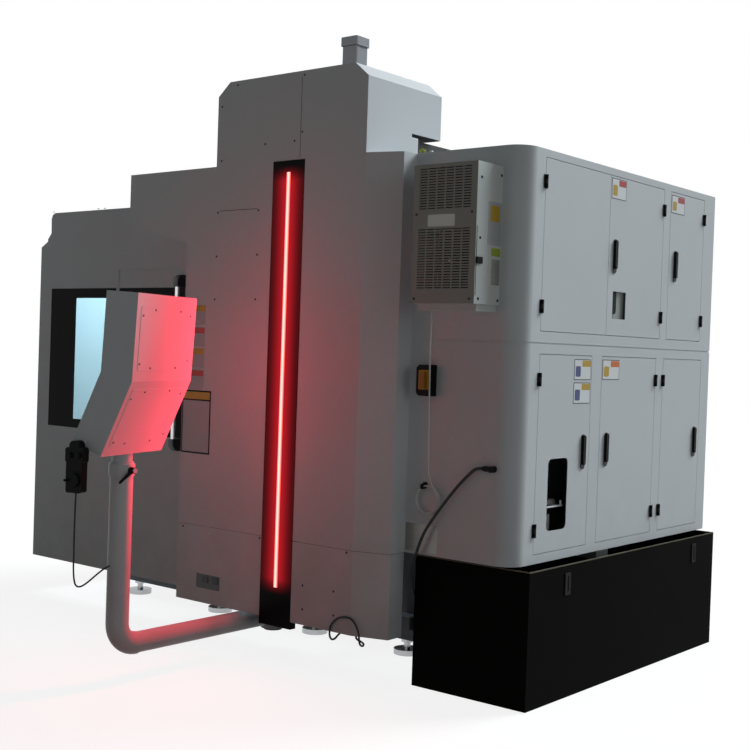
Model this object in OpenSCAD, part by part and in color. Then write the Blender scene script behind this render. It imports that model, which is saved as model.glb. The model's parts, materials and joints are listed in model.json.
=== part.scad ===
// Vertical milling machine with a light strip on its fascia, a control cabinet and a console on a swing arm

/* [Sheet metal] */
// Thickness of the folded sheet covers
sheet_t = 3; // [2:0.5:5]
// Open seam between neighbouring covers
seam = 3; // [1:0.5:6]

/* [Fascia] */
// Front plane of the fascia, from the origin
fascia_y = -538; // [-600:1:-500]
// Left edge of the fascia, from the origin
fascia_x = -255; // [-300:1:-220]
// Width of the left fascia panel
left_panel_w = 629; // [560:1:700]
// Width of the light panel
light_w = 218; // [160:1:260]
// Width of the right fascia panel
right_panel_w = 391; // [340:1:440]
// Width of the angled corner
facet_w = 187; // [120:1:240]
// Depth of the angled corner
facet_d = 59; // [30:1:90]
// Depth of the side behind the angled corner
side_d = 104; // [80:1:140]
// Underside of the skirts above the floor
skirt_z = 233; // [232:1:260]
// Seam between skirts and fascia above the floor
seam_z = 641; // [600:1:680]
// Top of the machine housing above the floor
house_top = 2553; // [2540:1:2620]

/* [Canopy] */
// How far the canopy reaches past the fascia's left edge
canopy_l = 482; // [400:1:520]
// Lower edge of the canopy at its free end
canopy_outer_z = 2255; // [2200:1:2300]
// Lower edge of the canopy at the fascia
canopy_inner_z = 2157; // [2110:1:2190]

/* [Light strip] */
// Underside of the light panel above the floor
light_z = 195; // [180:1:230]
// Depth of the light panel
light_d = 40; // [30:1:60]
// Thickness of the light panel's face
light_face_t = 14; // [12:0.5:18]
// Width of the slot for the lens
lens_w = 28; // [20:1:40]
// Depth of the slot for the lens
lens_d = 10; // [6:0.5:11]
// How far the lens stands proud of the panel
lens_proud = 2; // [1:0.5:4]
// Lower end of the lens above the floor
lens_z = 393; // [340:1:440]
// Length of the lens
lens_l = 2098; // [1900:1:2120]

/* [Tower] */
// Left face of the tower, from the origin
tower_x = -42; // [-80:1:-10]
// Width of the tower
tower_w = 1027; // [980:1:1060]
// Depth of the tower
tower_d = 593; // [540:1:640]
// Height of the tower above the roof
tower_h = 438; // [400:1:480]
// Width of the bevels on the tower's top edges
bevel_w = 85; // [40:1:120]
// Height of the bevels on the tower's top edges
bevel_h = 70; // [40:1:120]
// Depth of the cable notch at the tower's rear
notch_d = 240; // [200:1:242]
// Height of the cable notch
notch_h = 145; // [100:1:180]

/* [Work room] */
// Length of the work room left of the fascia
room_l = 1607; // [1560:1:1660]
// Front plane of the work room behind the fascia
room_recess = 221; // [200:1:240]
// Top of the work room above the floor
room_top = 2408; // [2390:1:2440]
// Rear plane of the machine, from the origin
rear_y = 1640; // [1600:1:1664]
// Left edge of the door opening, right of the left wall
opening_in = 772; // [740:1:800]
// Width of the door opening
opening_w = 650; // [620:1:670]
// Lower edge of the door opening above the floor
opening_z = 700; // [660:1:760]
// Height of the door opening
opening_h = 1340; // [1300:1:1360]
// Left edge of the fixed window, right of the left wall
window_in = 119; // [90:1:150]
// Right edge of the fixed window, left of the door opening
window_post = 20; // [15:1:40]
// Lower edge of both windows above the floor
window_z = 1070; // [1030:1:1110]
// Height of both windows
window_h = 862; // [800:1:900]

/* [Door] */
// Depth of the door leaf
leaf_d = 30; // [24:1:40]
// How far the leaf reaches behind the opening's edges
leaf_lap = 25; // [15:1:26]
// Distance from the leaf to the sheet in front of it
leaf_gap = 1; // [0.5:0.1:2]
// Border of the leaf beside its window
leaf_border = 30; // [25:1:60]
// Thickness of the window panes in the leaf
pane_t = 4; // [3:0.5:6]
// Diameter of the handle bar
grip_dia = 28; // [22:1:36]
// Length of the handle between its brackets
grip_l = 1000; // [900:1:1060]
// Handle axis left of the opening's right edge
grip_in = 58; // [45:1:70]
// Distance from the leaf to the handle axis
grip_proud = 65; // [50:1:80]
// Width of the running tongues
tongue_w = 10; // [6:0.5:14]
// Height of the running tongues
tongue_h = 14; // [10:0.5:18]
// Height of the running tracks
track_h = 30; // [24:1:40]
// Clearance of the running tongues
run_gap = 0.3; // [0.2:0.05:0.6]

/* [Cabinet] */
// Width of the cabinet
cab_w = 608; // [580:1:640]
// Length of the cabinet
cab_l = 2040; // [2020:1:2080]
// Underside of the cabinet above the floor
cab_z = 645; // [640:1:680]
// Seam between the cabinet's halves above the floor
cab_seam_z = 1668; // [1660:1:1680]
// Height of the seam groove
cab_seam_h = 6; // [4:1:10]
// Top of the cabinet above the floor
cab_top = 2558; // [2550:1:2600]
// Radius of the cabinet's rounded corner
cab_r = 100; // [60:1:110]
// Depth of the folded door frame
frame_d = 28; // [26:1:36]
// Depth of the door pans
pan_d = 20; // [16:1:22]
// Sheet of the door pans
pan_t = 2.5; // [1.5:0.5:4]
// Gap round the doors
door_gap = 3; // [2:0.5:5]
// Width of the stop behind the doors
stop_w = 15; // [10:1:20]
// Lower edge of the upper doors above the floor
upper_z = 1725; // [1715:1:1740]
// Height of the upper doors
upper_h = 795; // [760:1:800]
// Lower edge of the lower doors above the floor
lower_z = 690; // [680:1:700]
// Height of the lower doors
lower_h = 926; // [900:1:940]

/* [Cabinet fittings] */
// Height of a hinge
hinge_h = 62; // [50:1:80]
// Width of a hinge leaf
hinge_w = 17; // [15:1:20]
// Thickness of a hinge leaf
hinge_t = 3; // [2:0.5:3.5]
// Radius of a hinge knuckle
knuckle_r = 6.5; // [6:0.1:6.8]
// Radius of a hinge pin
pin_r = 4; // [3:0.1:4.5]
// Running clearance of pins and shafts
pin_gap = 0.05; // [0.02:0.01:0.1]
// Distance from the doors to the hinge axes
hinge_proud = 7; // [7:0.1:8]
// Height of a swing handle's dish
dish_h = 170; // [150:1:190]
// Width of a swing handle's dish
dish_w = 34; // [28:1:40]
// Thickness of a swing handle's dish
dish_t = 5; // [4:0.5:8]
// Width of a swing handle
swing_w = 24; // [18:1:28]
// Thickness of a swing handle
swing_t = 9; // [7:0.5:14]
// Width of the vision window in the lower left door
vision_w = 180; // [150:1:200]
// Height of the vision window
vision_h = 340; // [300:1:360]
// Side of the square cut-out in the upper right door
cutout_w = 138; // [110:1:150]

/* [Cooling unit] */
// Width of the cooling unit
cooler_w = 353; // [330:1:380]
// Depth of the cooling unit
cooler_d = 203; // [180:1:220]
// Height of the cooling unit
cooler_h = 631; // [600:1:660]
// Underside of the cooling unit above the floor
cooler_z = 1830; // [1800:1:1860]
// Left side of the cooling unit, from the cabinet's left face
cooler_in = 140; // [120:1:160]
// Radius of the fan
fan_r = 122; // [100:1:130]
// Radius of the fan shaft
fan_shaft_r = 8; // [6:0.5:10]

/* [Tank] */
// Width of the coolant tank
tank_w = 642; // [620:1:680]
// Length of the coolant tank
tank_l = 1982; // [1960:1:2020]
// Height of the coolant tank
tank_h = 634; // [600:1:636]
// Wall of the coolant tank
tank_t = 4; // [3:0.5:6]
// Distance from the fascia's side to the tank
tank_in = 40; // [38:1:60]
// Distance from the cabinet's front to the tank's front
tank_back = 43; // [30:1:60]

/* [Console arm] */
// Axis of the arm's pivot and post, from the origin
arm_x = 226; // [200:1:250]
// Reach from the pivot to the post
arm_l = 1062; // [1000:1:1090]
// Radius of the arm tube
arm_r = 50; // [44:1:50]
// Radius of the post tube
post_r = 54; // [50:1:60]
// Axis of the arm above the floor
arm_z = 180; // [170:1:180]
// Top of the post above the floor
post_top = 1050; // [1000:1:1060]
// Radius of the elbow's centre line
elbow_r = 110; // [90:1:140]
// Radius of the pivot pin
pivot_r = 30; // [24:1:36]
// Thickness of the plate that carries the pivot pin
pivot_plate_t = 7; // [5:0.5:7]

/* [Console] */
// Turn of the console about its post
console_turn = 197.2; // [190:0.1:205]
// Width of the console
console_w = 506; // [480:1:560]
// Thickness of the console
console_t = 165; // [150:1:180]
// Lower rear edge of the console above the floor
console_z = 1093; // [1085:1:1100]
// Bend of the console's rear above the floor
console_bend_z = 1434; // [1420:1:1450]
// Top rear edge of the console above the floor
console_top = 1826; // [1800:1:1850]
// Middle of the console beside its post, towards the hand unit
console_shift = 34; // [20:1:45]
// Lean of the console's lower leg
lower_lean = 24; // [20:1:28]
// Lean of the console's upper leg
upper_lean = 3; // [0:0.5:6]
// Depth of the recess for the operator panel
recess_d = 6; // [5:0.5:8]
// Thickness of the operator panel
panel_t = 5; // [4:0.5:5]
// Width of the screen
screen_w = 345; // [320:1:380]
// Height of the screen
screen_h = 262; // [240:1:280]
// Radius of the button shafts
button_r = 8; // [6:0.5:9]

/* [Hand unit] */
// Width of the hand unit
pendant_w = 94; // [80:1:110]
// Height of the hand unit
pendant_h = 233; // [210:1:250]
// Depth of the hand unit
pendant_d = 45; // [38:1:55]
// Underside of the hand unit above the floor
pendant_z = 930; // [920:1:950]
// Radius of the hand wheel
wheel_r = 32; // [26:1:36]

/* [Machine inside] */
// Centre plane of column, table and spindle
mid_y = 563; // [550:1:580]
// Underside of the bed above the floor
bed_z = 90; // [70:1:110]
// Top of the bed above the floor
bed_top = 560; // [540:1:580]
// Width of the bed
bed_w = 960; // [920:1:990]
// Side of the base frame's square tube
tube_w = 80; // [60:1:90]
// Face of the column that carries the head, from the origin
column_x = 250; // [240:1:280]
// Depth of the column
column_d = 650; // [600:1:680]
// Width of the column
column_w = 720; // [680:1:760]
// Top of the column above the floor
column_top = 2330; // [2310:1:2350]
// Width of the linear rails
rail_w = 45; // [35:1:55]
// Height of the linear rails
rail_h = 40; // [30:1:50]
// Diameter of the feed screws
screw_dia = 50; // [40:1:60]
// Spindle axis from the origin
spindle_x = -750; // [-770:1:-730]
// Radius of the spindle shaft in its housing
spindle_r = 45; // [40:1:50]
// Underside of the spindle housing above the floor
housing_z = 1380; // [1370:1:1420]
// Length of the table
table_l = 1100; // [1040:1:1120]
// Width of the table
table_w = 620; // [580:1:660]
// Top of the table above the floor
table_top = 1000; // [980:1:1040]
// Width of a T-slot at its mouth
slot_w = 18; // [14:1:22]
// Pitch of the T-slots
slot_pitch = 110; // [100:1:120]

/* [Tool magazine] */
// Axis of the tool disc and its rod, from the origin
disc_x = 471; // [460:1:480]
// Plane of the air cylinder and the tool disc's carriage
cylinder_y = -240; // [-250:1:-230]
// Axis of the air cylinder, right of the tool disc's axis
cylinder_in = 169; // [160:1:175]
// Height of the tool disc's axis above the floor
disc_z = 1750; // [1740:1:1790]
// Radius of the tool disc
disc_r = 380; // [340:1:400]
// Side of the square air cylinder
cylinder_w = 95; // [80:1:105]
// Top of the air cylinder above the floor
cylinder_top = 3204; // [3150:1:3240]
// Side of the air cylinder's cap
cap_w = 108; // [106:1:120]

/* [Hidden] */
$fn = 48;

// Planes that several pieces share
white = "gainsboro";
black = [0.07, 0.07, 0.08];
iron = [0.36, 0.38, 0.4];
steel = "silver";
eps = 1;
light_x = fascia_x + left_panel_w;
right_x = light_x + light_w;
facet_x = right_x + right_panel_w;
cab_x = facet_x + facet_w;
side_y = fascia_y + facet_d;
cab_y = side_y + side_d;
cab_x1 = cab_x + cab_w;
cab_y1 = cab_y + cab_l;
fascia_in = fascia_y + sheet_t;
room_y = fascia_y + room_recess;
room_in = room_y + sheet_t;
rear_in = rear_y - sheet_t;
left_x = fascia_x - room_l;
left_in = left_x + sheet_t;
canopy_x = fascia_x - canopy_l;
frame_z = skirt_z + 5;
frame_top = frame_z + tube_w;
bed_y = mid_y - bed_w / 2;
bed_y1 = mid_y + bed_w / 2;
bed_x = -1480;
column_y = mid_y - column_w / 2;
column_foot = bed_top + tube_w;
column_x1 = column_x + column_d;
bed_x1 = column_x1 + 30;

// Plan of the fascia's right side, and profile of the work room's left wall
right_plan = [[right_x, fascia_y], [facet_x, fascia_y], [cab_x, side_y], [cab_x, cab_y]];
room_profile = [[left_x, skirt_z], [left_x, room_top - 213], [left_x + 65, room_top - 178],
    [left_x + 65, room_top - 163], [left_x + 99, room_top - 126], [left_x + 96, room_top - 36],
    [left_x + 108, room_top - 11], [left_x + 132, room_top]];

// Path helpers: unit vectors, mitred offsets and strips of sheet along a path
function unit(v) = v / norm(v);
function left_of(v) = [-v.y, v.x];
function mitre(a, b, c, d) = let (m = left_of(unit(b - a)) + left_of(unit(c - b))) b + m * (2 * d / (m * m));
function path_end(p, i, j, d) = p[i] + d * left_of(unit(p[max(i, j)] - p[min(i, j)]));
function beside(p, d) = let (n = len(p) - 1) [for (i = [0:n])
    i == 0 ? path_end(p, 0, 1, d) : i == n ? path_end(p, n, n - 1, d) : mitre(p[i - 1], p[i], p[i + 1], d)];
function reversed(p) = [for (i = [len(p) - 1:-1:0]) p[i]];
function strip(p, d) = concat(p, reversed(beside(p, d)));
function inside(p, d) = let (n = len(p)) [for (i = [0:n - 1])
    mitre(p[(i + n - 1) % n], p[i], p[(i + 1) % n], d)];

// A block between two corners, and prisms of an outline across X or Y
module block(a, b) translate(a) cube(b - a);
module along_y(y, y1) translate([0, y1, 0]) rotate([90, 0, 0]) linear_extrude(y1 - y) children();
module along_x(x, x1) translate([x, 0, 0]) rotate([90, 0, 90]) linear_extrude(x1 - x) children();
module along_z(z, z1) translate([0, 0, z]) linear_extrude(z1 - z) children();
module rod_x(x, x1, y, z, r) translate([x, y, z]) rotate([0, 90, 0]) cylinder(r = r, h = x1 - x);
module rod_y(x, y, y1, z, r) translate([x, y, z]) rotate([-90, 0, 0]) cylinder(r = r, h = y1 - y);
module rod_z(x, y, z, z1, r) translate([x, y, z]) cylinder(r = r, h = z1 - z);
module rounded(w, h, r) {
    translate([r, 0]) square([w - 2 * r, h]);
    translate([0, r]) square([w, h - 2 * r]);
    for (x = [r, w - r], y = [r, h - r]) translate([x, y]) circle(r);
}

// Bed, feet and frame
foot_xs = [bed_x + 120, bed_x + 860, column_x - 100, bed_x1 - 120];
module levelling_feet() color(iron)
    for (x = foot_xs, y = [bed_y + 70, bed_y1 - 70]) {
        rod_z(x, y, 0, 28, 72);
        rod_z(x, y, 0, bed_z, 18);
        translate([x, y, bed_z - 26]) cylinder(r = 34, h = 26, $fn = 6);
    }

gutter_w = 90;
module bed() color(iron) difference() {
    union() {
        block([bed_x, bed_y, bed_z], [bed_x1, bed_y1, bed_top]);
        block([column_x - 60, bed_y, bed_top - eps], [bed_x1, bed_y1, column_foot]);
    }
    block([bed_x + 260, bed_y + 150, bed_z - eps], [bed_x1 - 260, bed_y1 - 150, bed_z + 90]);
    for (y = [bed_y + 20, bed_y1 - 20 - gutter_w])
        block([bed_x - eps, y, bed_top - 130], [column_x - 100, y + gutter_w, bed_top + eps]);
}

// Square tube frame that stands off the bed and carries the covers and the cabinet
post_ys = [room_in + tube_w, rear_in - 2 * tube_w];
module base_frame() color(iron) {
    block([left_in, room_in, frame_z], [cab_x, room_in + tube_w, frame_top]);
    block([left_in, rear_in - tube_w, frame_z], [cab_x, rear_in, frame_top]);
    for (x = [left_in, cab_x - tube_w])
        block([x, room_in, frame_z], [x + tube_w, rear_in, frame_top]);
    for (x = [bed_x + 800, column_x + 120]) {
        block([x, room_in, frame_z], [x + tube_w, bed_y, frame_top]);
        block([x, bed_y1, frame_z], [x + tube_w, rear_in, frame_top]);
    }
    for (x = [fascia_x + sheet_t, facet_x - 120])
        block([x, fascia_in, frame_z], [x + tube_w, room_y, frame_top]);
    block([fascia_x + sheet_t, room_y - tube_w - 20, frame_z], [facet_x - 120, room_y - 20, frame_top]);
    block([facet_x - 120, room_y - tube_w - 20, frame_z], [facet_x - 120 + tube_w, room_in + eps, frame_top]);
    for (y = post_ys)
        block([cab_x - tube_w, y, frame_z], [cab_x, y + tube_w, house_top - sheet_t]);
    // Pivot pin of the console arm under the front tube
    block([arm_x - 80, pivot_y - 80, frame_z - pivot_plate_t], [arm_x + 80, pivot_y + 80, frame_z]);
    rod_z(arm_x, pivot_y, pivot_foot, frame_z - pivot_plate_t, pivot_r);
    rod_z(arm_x, pivot_y, pivot_foot - 10, pivot_foot, pivot_r + 18);
    // Bracket and gland at the foot of the power cable
    block([cab_x - eps, cab_y + 61, frame_z], [cab_x + 36, cab_y + 141, frame_z + 20]);
    rod_z(cab_x + cable_foot[0], cab_y + cable_foot[1], frame_z + 19, cable_foot[2], 13);
}

// Column, rails and screws
z_rail_ys = [mid_y - 230, mid_y + 230];
x_rail_ys = [mid_y - 300, mid_y + 300];
z_screw_x = column_x - rail_h - 25;
module column() color(white) {
    difference() {
        along_y(column_y, column_y + column_w)
            polygon([[column_x, column_foot], [column_x1, column_foot], [column_x1, column_top - 500],
                [column_x1 - 150, column_top], [column_x, column_top]]);
        for (z = [column_foot + 150:420:column_top - 700])
            block([column_x + 140, column_y - eps, z], [column_x1 - 140, column_y + 40, z + 320]);
    }
    magazine_beams();
}

module axis_rails() color(steel) {
    for (y = x_rail_ys)
        block([spindle_x - 520, y - rail_w / 2, bed_top],
            [spindle_x + 520, y + rail_w / 2, bed_top + rail_h]);
    for (y = z_rail_ys)
        block([column_x - rail_h, y - rail_w / 2, 940], [column_x, y + rail_w / 2, 2240]);
    // Feed screws between their bearing blocks
    x_screw_z = bed_top + 60;
    rod_x(spindle_x - 520, spindle_x + 520, mid_y, x_screw_z, screw_dia / 2);
    for (x = [spindle_x - 570, spindle_x + 520])
        block([x, mid_y - 60, bed_top], [x + 50, mid_y + 60, bed_top + 115]);
    rod_z(z_screw_x, mid_y, 900, 2280, screw_dia / 2);
    for (z = [850, 2240])
        block([z_screw_x - 55, mid_y - 60, z], [column_x, mid_y + 60, z + 50]);
}

// Cross saddle on the bed rails, table on the saddle's own rails
saddle_z = bed_top + rail_h + 5;
saddle_top = saddle_z + 150;
saddle_l = 600;
saddle_w = 1000;
carriage_l = 120;
carriage_w = 95;
table_rail_xs = [spindle_x - 200, spindle_x + 200];
// Channel that runs on a rail lying along X
module carriage(z, top) difference() {
    block([-carriage_l / 2, -carriage_w / 2, z + 10], [carriage_l / 2, carriage_w / 2, top]);
    block([-carriage_l, -rail_w / 2 - run_gap, z], [carriage_l, rail_w / 2 + run_gap, z + rail_h + run_gap]);
}
module saddle() color(iron) {
    difference() {
        block([spindle_x - saddle_l / 2, mid_y - saddle_w / 2, saddle_z],
            [spindle_x + saddle_l / 2, mid_y + saddle_w / 2, saddle_top]);
        block([spindle_x - saddle_l, mid_y - 70, saddle_z - eps],
            [spindle_x + saddle_l, mid_y + 70, bed_top + 125]);
    }
    for (x = [-200, 200], y = x_rail_ys)
        translate([spindle_x + x, y, 0]) carriage(bed_top, saddle_z);
    for (x = table_rail_xs)
        block([x - rail_w / 2, mid_y - saddle_w / 2, saddle_top],
            [x + rail_w / 2, mid_y + saddle_w / 2, saddle_top + rail_h]);
}
table_z = saddle_top + rail_h + 5;
module table() color(iron) {
    difference() {
        block([spindle_x - table_w / 2, mid_y - table_l / 2, table_z],
            [spindle_x + table_w / 2, mid_y + table_l / 2, table_top]);
        for (i = [-2:2]) translate([spindle_x + i * slot_pitch, 0, 0]) {
            block([-slot_w / 2, mid_y - table_l, table_top - 40],
                [slot_w / 2, mid_y + table_l, table_top + eps]);
            block([-slot_w, mid_y - table_l, table_top - 50], [slot_w, mid_y + table_l, table_top - 30]);
        }
    }
    for (x = table_rail_xs, y = [-180, 180])
        translate([x, mid_y + y, 0]) rotate(90) carriage(saddle_top, table_z);
}

// Spindle head on the column's rails
head_w = 440;
slide_w = 580;
slide_z = 1250;
slide_top = slide_z + 800;
head_top = slide_top - 170;
motor_top = head_top + 360;
slide_x = column_x - rail_h - 5;
slide_d = 95;
nose_r = 130;
module spindle_head() color(white) difference() {
    union() {
        block([slide_x - slide_d, mid_y - slide_w / 2, slide_z], [slide_x, mid_y + slide_w / 2, slide_top]);
        for (y = z_rail_ys, z = [slide_z + 100, slide_top - 100])
            translate([column_x, y, z]) rotate([0, -90, 0]) carriage(0, rail_h + 5);
        along_y(mid_y - head_w / 2, mid_y + head_w / 2)
            polygon([[slide_x - slide_d, slide_z + 150], [slide_x - slide_d, slide_top - 50],
                [spindle_x + 200, head_top], [spindle_x, head_top], [spindle_x, slide_z + 250],
                [spindle_x + 250, slide_z + 250]]);
        rod_z(spindle_x, mid_y, housing_z, head_top, nose_r + 90);
        rod_z(spindle_x, mid_y, head_top - eps, motor_top, nose_r);
    }
    // Bores for the spindle and the feed screw
    rod_z(spindle_x, mid_y, housing_z - eps, housing_z + 300, spindle_r + pin_gap);
    rod_z(z_screw_x, mid_y, slide_z - 50, slide_top + 50, screw_dia / 2 + run_gap);
    block([z_screw_x - 10, mid_y - 40, slide_z - 10], [slide_x + eps, mid_y + 40, slide_top + 10]);
}
module spindle() color(steel) difference() {
    union() {
        rod_z(spindle_x, mid_y, housing_z - run_gap, housing_z + 290, spindle_r);
        rod_z(spindle_x, mid_y, housing_z - 50, housing_z - run_gap, spindle_r + 20);
    }
    translate([spindle_x, mid_y, housing_z - 50 - eps]) cylinder(r1 = 35, r2 = 20, h = 110);
}

// Tool magazine: beams off the column, a carriage on guide rods between them, and the tool disc
cylinder_x = disc_x + cylinder_in;
guide_y = cylinder_y + 75;
guide_r = 20;
disc_y = cylinder_y - 60;
lower_beam_z = 1120;
module magazine_beams() {
    difference() {
        block([disc_x - 100, cylinder_y - 60, column_top],
            [cylinder_x + 70, column_y + 300, column_top + 60]);
        rod_z(cylinder_x, cylinder_y, column_top - eps, column_top + 61, 17);
    }
    block([disc_x - 100, guide_y - 40, lower_beam_z], [disc_x + 100, column_y, lower_beam_z + 60]);
    for (x = [disc_x - 60, disc_x + 60])
        rod_z(x, guide_y, lower_beam_z, column_top + eps, guide_r);
}
rod_r = 16;
stroke = 320;
carriage_top = disc_z + 420;
module magazine_cylinder() color(steel) difference() {
    union() {
        translate([cylinder_x - cylinder_w / 2, cylinder_y - cylinder_w / 2, column_top + 60])
            along_z(0, cylinder_top - column_top - 60) rounded(cylinder_w, cylinder_w, 10);
        translate([cylinder_x - cap_w / 2, cylinder_y - cap_w / 2, cylinder_top - 45])
            along_z(0, 45) rounded(cap_w, cap_w, 10);
    }
    rod_z(cylinder_x, cylinder_y, column_top + 59, column_top + 60 + stroke + 120, rod_r + pin_gap);
}
module magazine_carriage() color(iron) {
    difference() {
        block([disc_x - 100, cylinder_y - 30, disc_z - 240], [disc_x + 100, guide_y + 40, carriage_top]);
        for (x = [disc_x - 60, disc_x + 60])
            rod_z(x, guide_y, disc_z - 250, carriage_top + eps, guide_r + pin_gap);
    }
    block([disc_x + 99, cylinder_y - 30, carriage_top - 60],
        [cylinder_x + 40, cylinder_y + 30, carriage_top]);
    rod_z(cylinder_x, cylinder_y, carriage_top - eps, column_top + 60 + stroke + 60, rod_r);
    rod_y(disc_x, disc_y - 90, cylinder_y - 30 + eps, disc_z, 40);
}
pots = 20;
module tool_disc() color(steel) difference() {
    union() {
        rod_y(disc_x, disc_y - 20, disc_y + 15, disc_z, disc_r);
        rod_y(disc_x, disc_y - 80, disc_y - 20 + eps, disc_z, 70);
        for (a = [0:360 / pots:359]) translate([disc_x, 0, disc_z]) rotate([0, a, 0])
            rod_y(disc_r - 45, disc_y - 90, disc_y - 12, 0, 32);
    }
    rod_y(disc_x, disc_y - 100, disc_y + 20, disc_z, 40 + pin_gap);
    for (a = [0:360 / pots:359]) translate([disc_x, disc_y - 91, disc_z]) rotate([0, a, 0])
        translate([disc_r - 45, 0, 0]) rotate([-90, 0, 0]) cylinder(r1 = 24, r2 = 14, h = 64);
}

// Fascia covers
fascia_z = seam_z + seam / 2;
module left_fascia() color(white) {
    along_y(fascia_y, fascia_in)
        polygon([[fascia_x, fascia_z], [light_x, fascia_z], [light_x, house_top], [canopy_x, house_top],
            [canopy_x, canopy_outer_z], [fascia_x, canopy_inner_z]]);
    along_y(fascia_in - eps, room_y)
        polygon(strip([[fascia_x, canopy_inner_z], [canopy_x, canopy_outer_z],
            [canopy_x, house_top]], -sheet_t));
    block([fascia_x, fascia_in - eps, fascia_z], [fascia_x + sheet_t, room_y, canopy_inner_z + 2 * sheet_t]);
}
module right_fascia() color(white) along_z(fascia_z, house_top) polygon(strip(right_plan, sheet_t));
module skirts() color(white) {
    block([fascia_x, fascia_y, skirt_z], [light_x, fascia_in, seam_z - seam / 2]);
    block([fascia_x, fascia_in - eps, skirt_z], [fascia_x + sheet_t, room_y, seam_z - seam / 2]);
    along_z(skirt_z, seam_z - seam / 2) polygon(strip(right_plan, sheet_t));
}
light_mid = light_x + light_w / 2;
module light_panel() color(black) difference() {
    block([light_x, fascia_y, light_z], [right_x, fascia_y + light_d, house_top - sheet_t]);
    block([light_x + sheet_t, fascia_y + light_face_t, light_z + sheet_t],
        [right_x - sheet_t, fascia_y + light_d + eps, house_top - 2 * sheet_t]);
    block([light_mid - lens_w / 2, fascia_y - eps, lens_z],
        [light_mid + lens_w / 2, fascia_y + lens_d, lens_z + lens_l]);
}
module light_strip() color("red") along_z(lens_z, lens_z + lens_l) polygon([
    [light_mid - lens_w / 2, fascia_y + lens_d], [light_mid - lens_w / 2, fascia_y],
    [light_mid - lens_w / 4, fascia_y - lens_proud], [light_mid + lens_w / 4, fascia_y - lens_proud],
    [light_mid + lens_w / 2, fascia_y], [light_mid + lens_w / 2, fascia_y + lens_d]]);

// Tower over the magazine
tower_outline = [[tower_x, house_top], [tower_x + tower_w, house_top],
    [tower_x + tower_w, house_top + tower_h - bevel_h], [tower_x + tower_w - bevel_w, house_top + tower_h],
    [tower_x + bevel_w, house_top + tower_h], [tower_x, house_top + tower_h - bevel_h]];
tower_y1 = fascia_y + tower_d;
notch_y = tower_y1 - notch_d;
module notch(d) block([tower_x - eps, notch_y - d, house_top - eps],
    [tower_x + tower_w + eps, tower_y1 + eps, house_top + notch_h + d]);
module tower_cover() color(white) difference() {
    along_y(fascia_y, tower_y1) polygon(tower_outline);
    notch(0);
    difference() {
        along_y(fascia_in, tower_y1 - sheet_t) polygon(inside(tower_outline, sheet_t));
        notch(sheet_t);
    }
    block([tower_x + sheet_t, fascia_in, house_top - eps],
        [tower_x + tower_w - sheet_t, notch_y - sheet_t, house_top + 2 * sheet_t]);
    block([cylinder_x - cap_w / 2, cylinder_y - cap_w / 2, house_top + tower_h / 2],
        [cylinder_x + cap_w / 2, cylinder_y + cap_w / 2, house_top + tower_h + eps]);
}
// Roof of the machine housing, folded down onto the work room
module roof() color(white) {
    difference() {
        along_z(house_top - sheet_t, house_top)
            polygon(concat([[canopy_x + sheet_t, fascia_in]], [[right_x, fascia_in]],
                [for (i = [1:2]) beside(right_plan, sheet_t)[i]],
                [[cab_x - sheet_t, cab_y], [cab_x, cab_y], [cab_x, rear_in], [canopy_x + sheet_t, rear_in]]));
        block([tower_x + 40, fascia_y + light_d + 20, house_top - 2 * sheet_t],
            [tower_x + tower_w - 60, notch_y - sheet_t, house_top + eps]);
    }
    block([canopy_x, room_y, room_top], [canopy_x + sheet_t, rear_in, house_top]);
}

// Work room covers
opening_x = left_x + opening_in;
opening_x1 = opening_x + opening_w;
window_x = left_x + window_in;
window_x1 = opening_x - window_post;
room_end = fascia_x + sheet_t;
module room_cover() color(white) {
    along_y(room_in, rear_in)
        polygon(strip(concat(room_profile, [[canopy_x + sheet_t, room_top]]), -sheet_t));
    along_y(rear_in, rear_y)
        polygon(concat(room_profile, [[canopy_x, room_top], [canopy_x, house_top], [cab_x, house_top],
            [cab_x, skirt_z]]));
    lamp_housing();
}
module front_panel() color(white) {
    difference() {
        along_y(room_y, room_in)
            polygon(concat(room_profile, [[room_end, room_top], [room_end, skirt_z]]));
        block([opening_x, room_y - eps, opening_z], [opening_x1, room_in + eps, opening_z + opening_h]);
        block([window_x, room_y - eps, window_z], [window_x1, room_in + eps, window_z + window_h]);
    }
    door_tracks();
}
module fixed_window() color([0.7, 0.9, 0.95, 0.4])
    block([window_x, room_y, window_z], [window_x1, room_in, window_z + window_h]);
// Housing of the work lamp under the room's roof
lamp_x = left_x + 260;
lamp_w = 70;
lamp_l = 1000;
lamp_h = 60;
module lamp_housing() difference() {
    block([lamp_x, mid_y - lamp_l / 2, room_top - sheet_t - lamp_h],
        [lamp_x + lamp_w, mid_y + lamp_l / 2, room_top - eps]);
    block([lamp_x - eps, mid_y - lamp_l / 2 + 80, room_top - sheet_t - lamp_h - eps],
        [lamp_x + lamp_w + eps, mid_y + lamp_l / 2 - 80, room_top - sheet_t - lamp_h + 11]);
}

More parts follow.
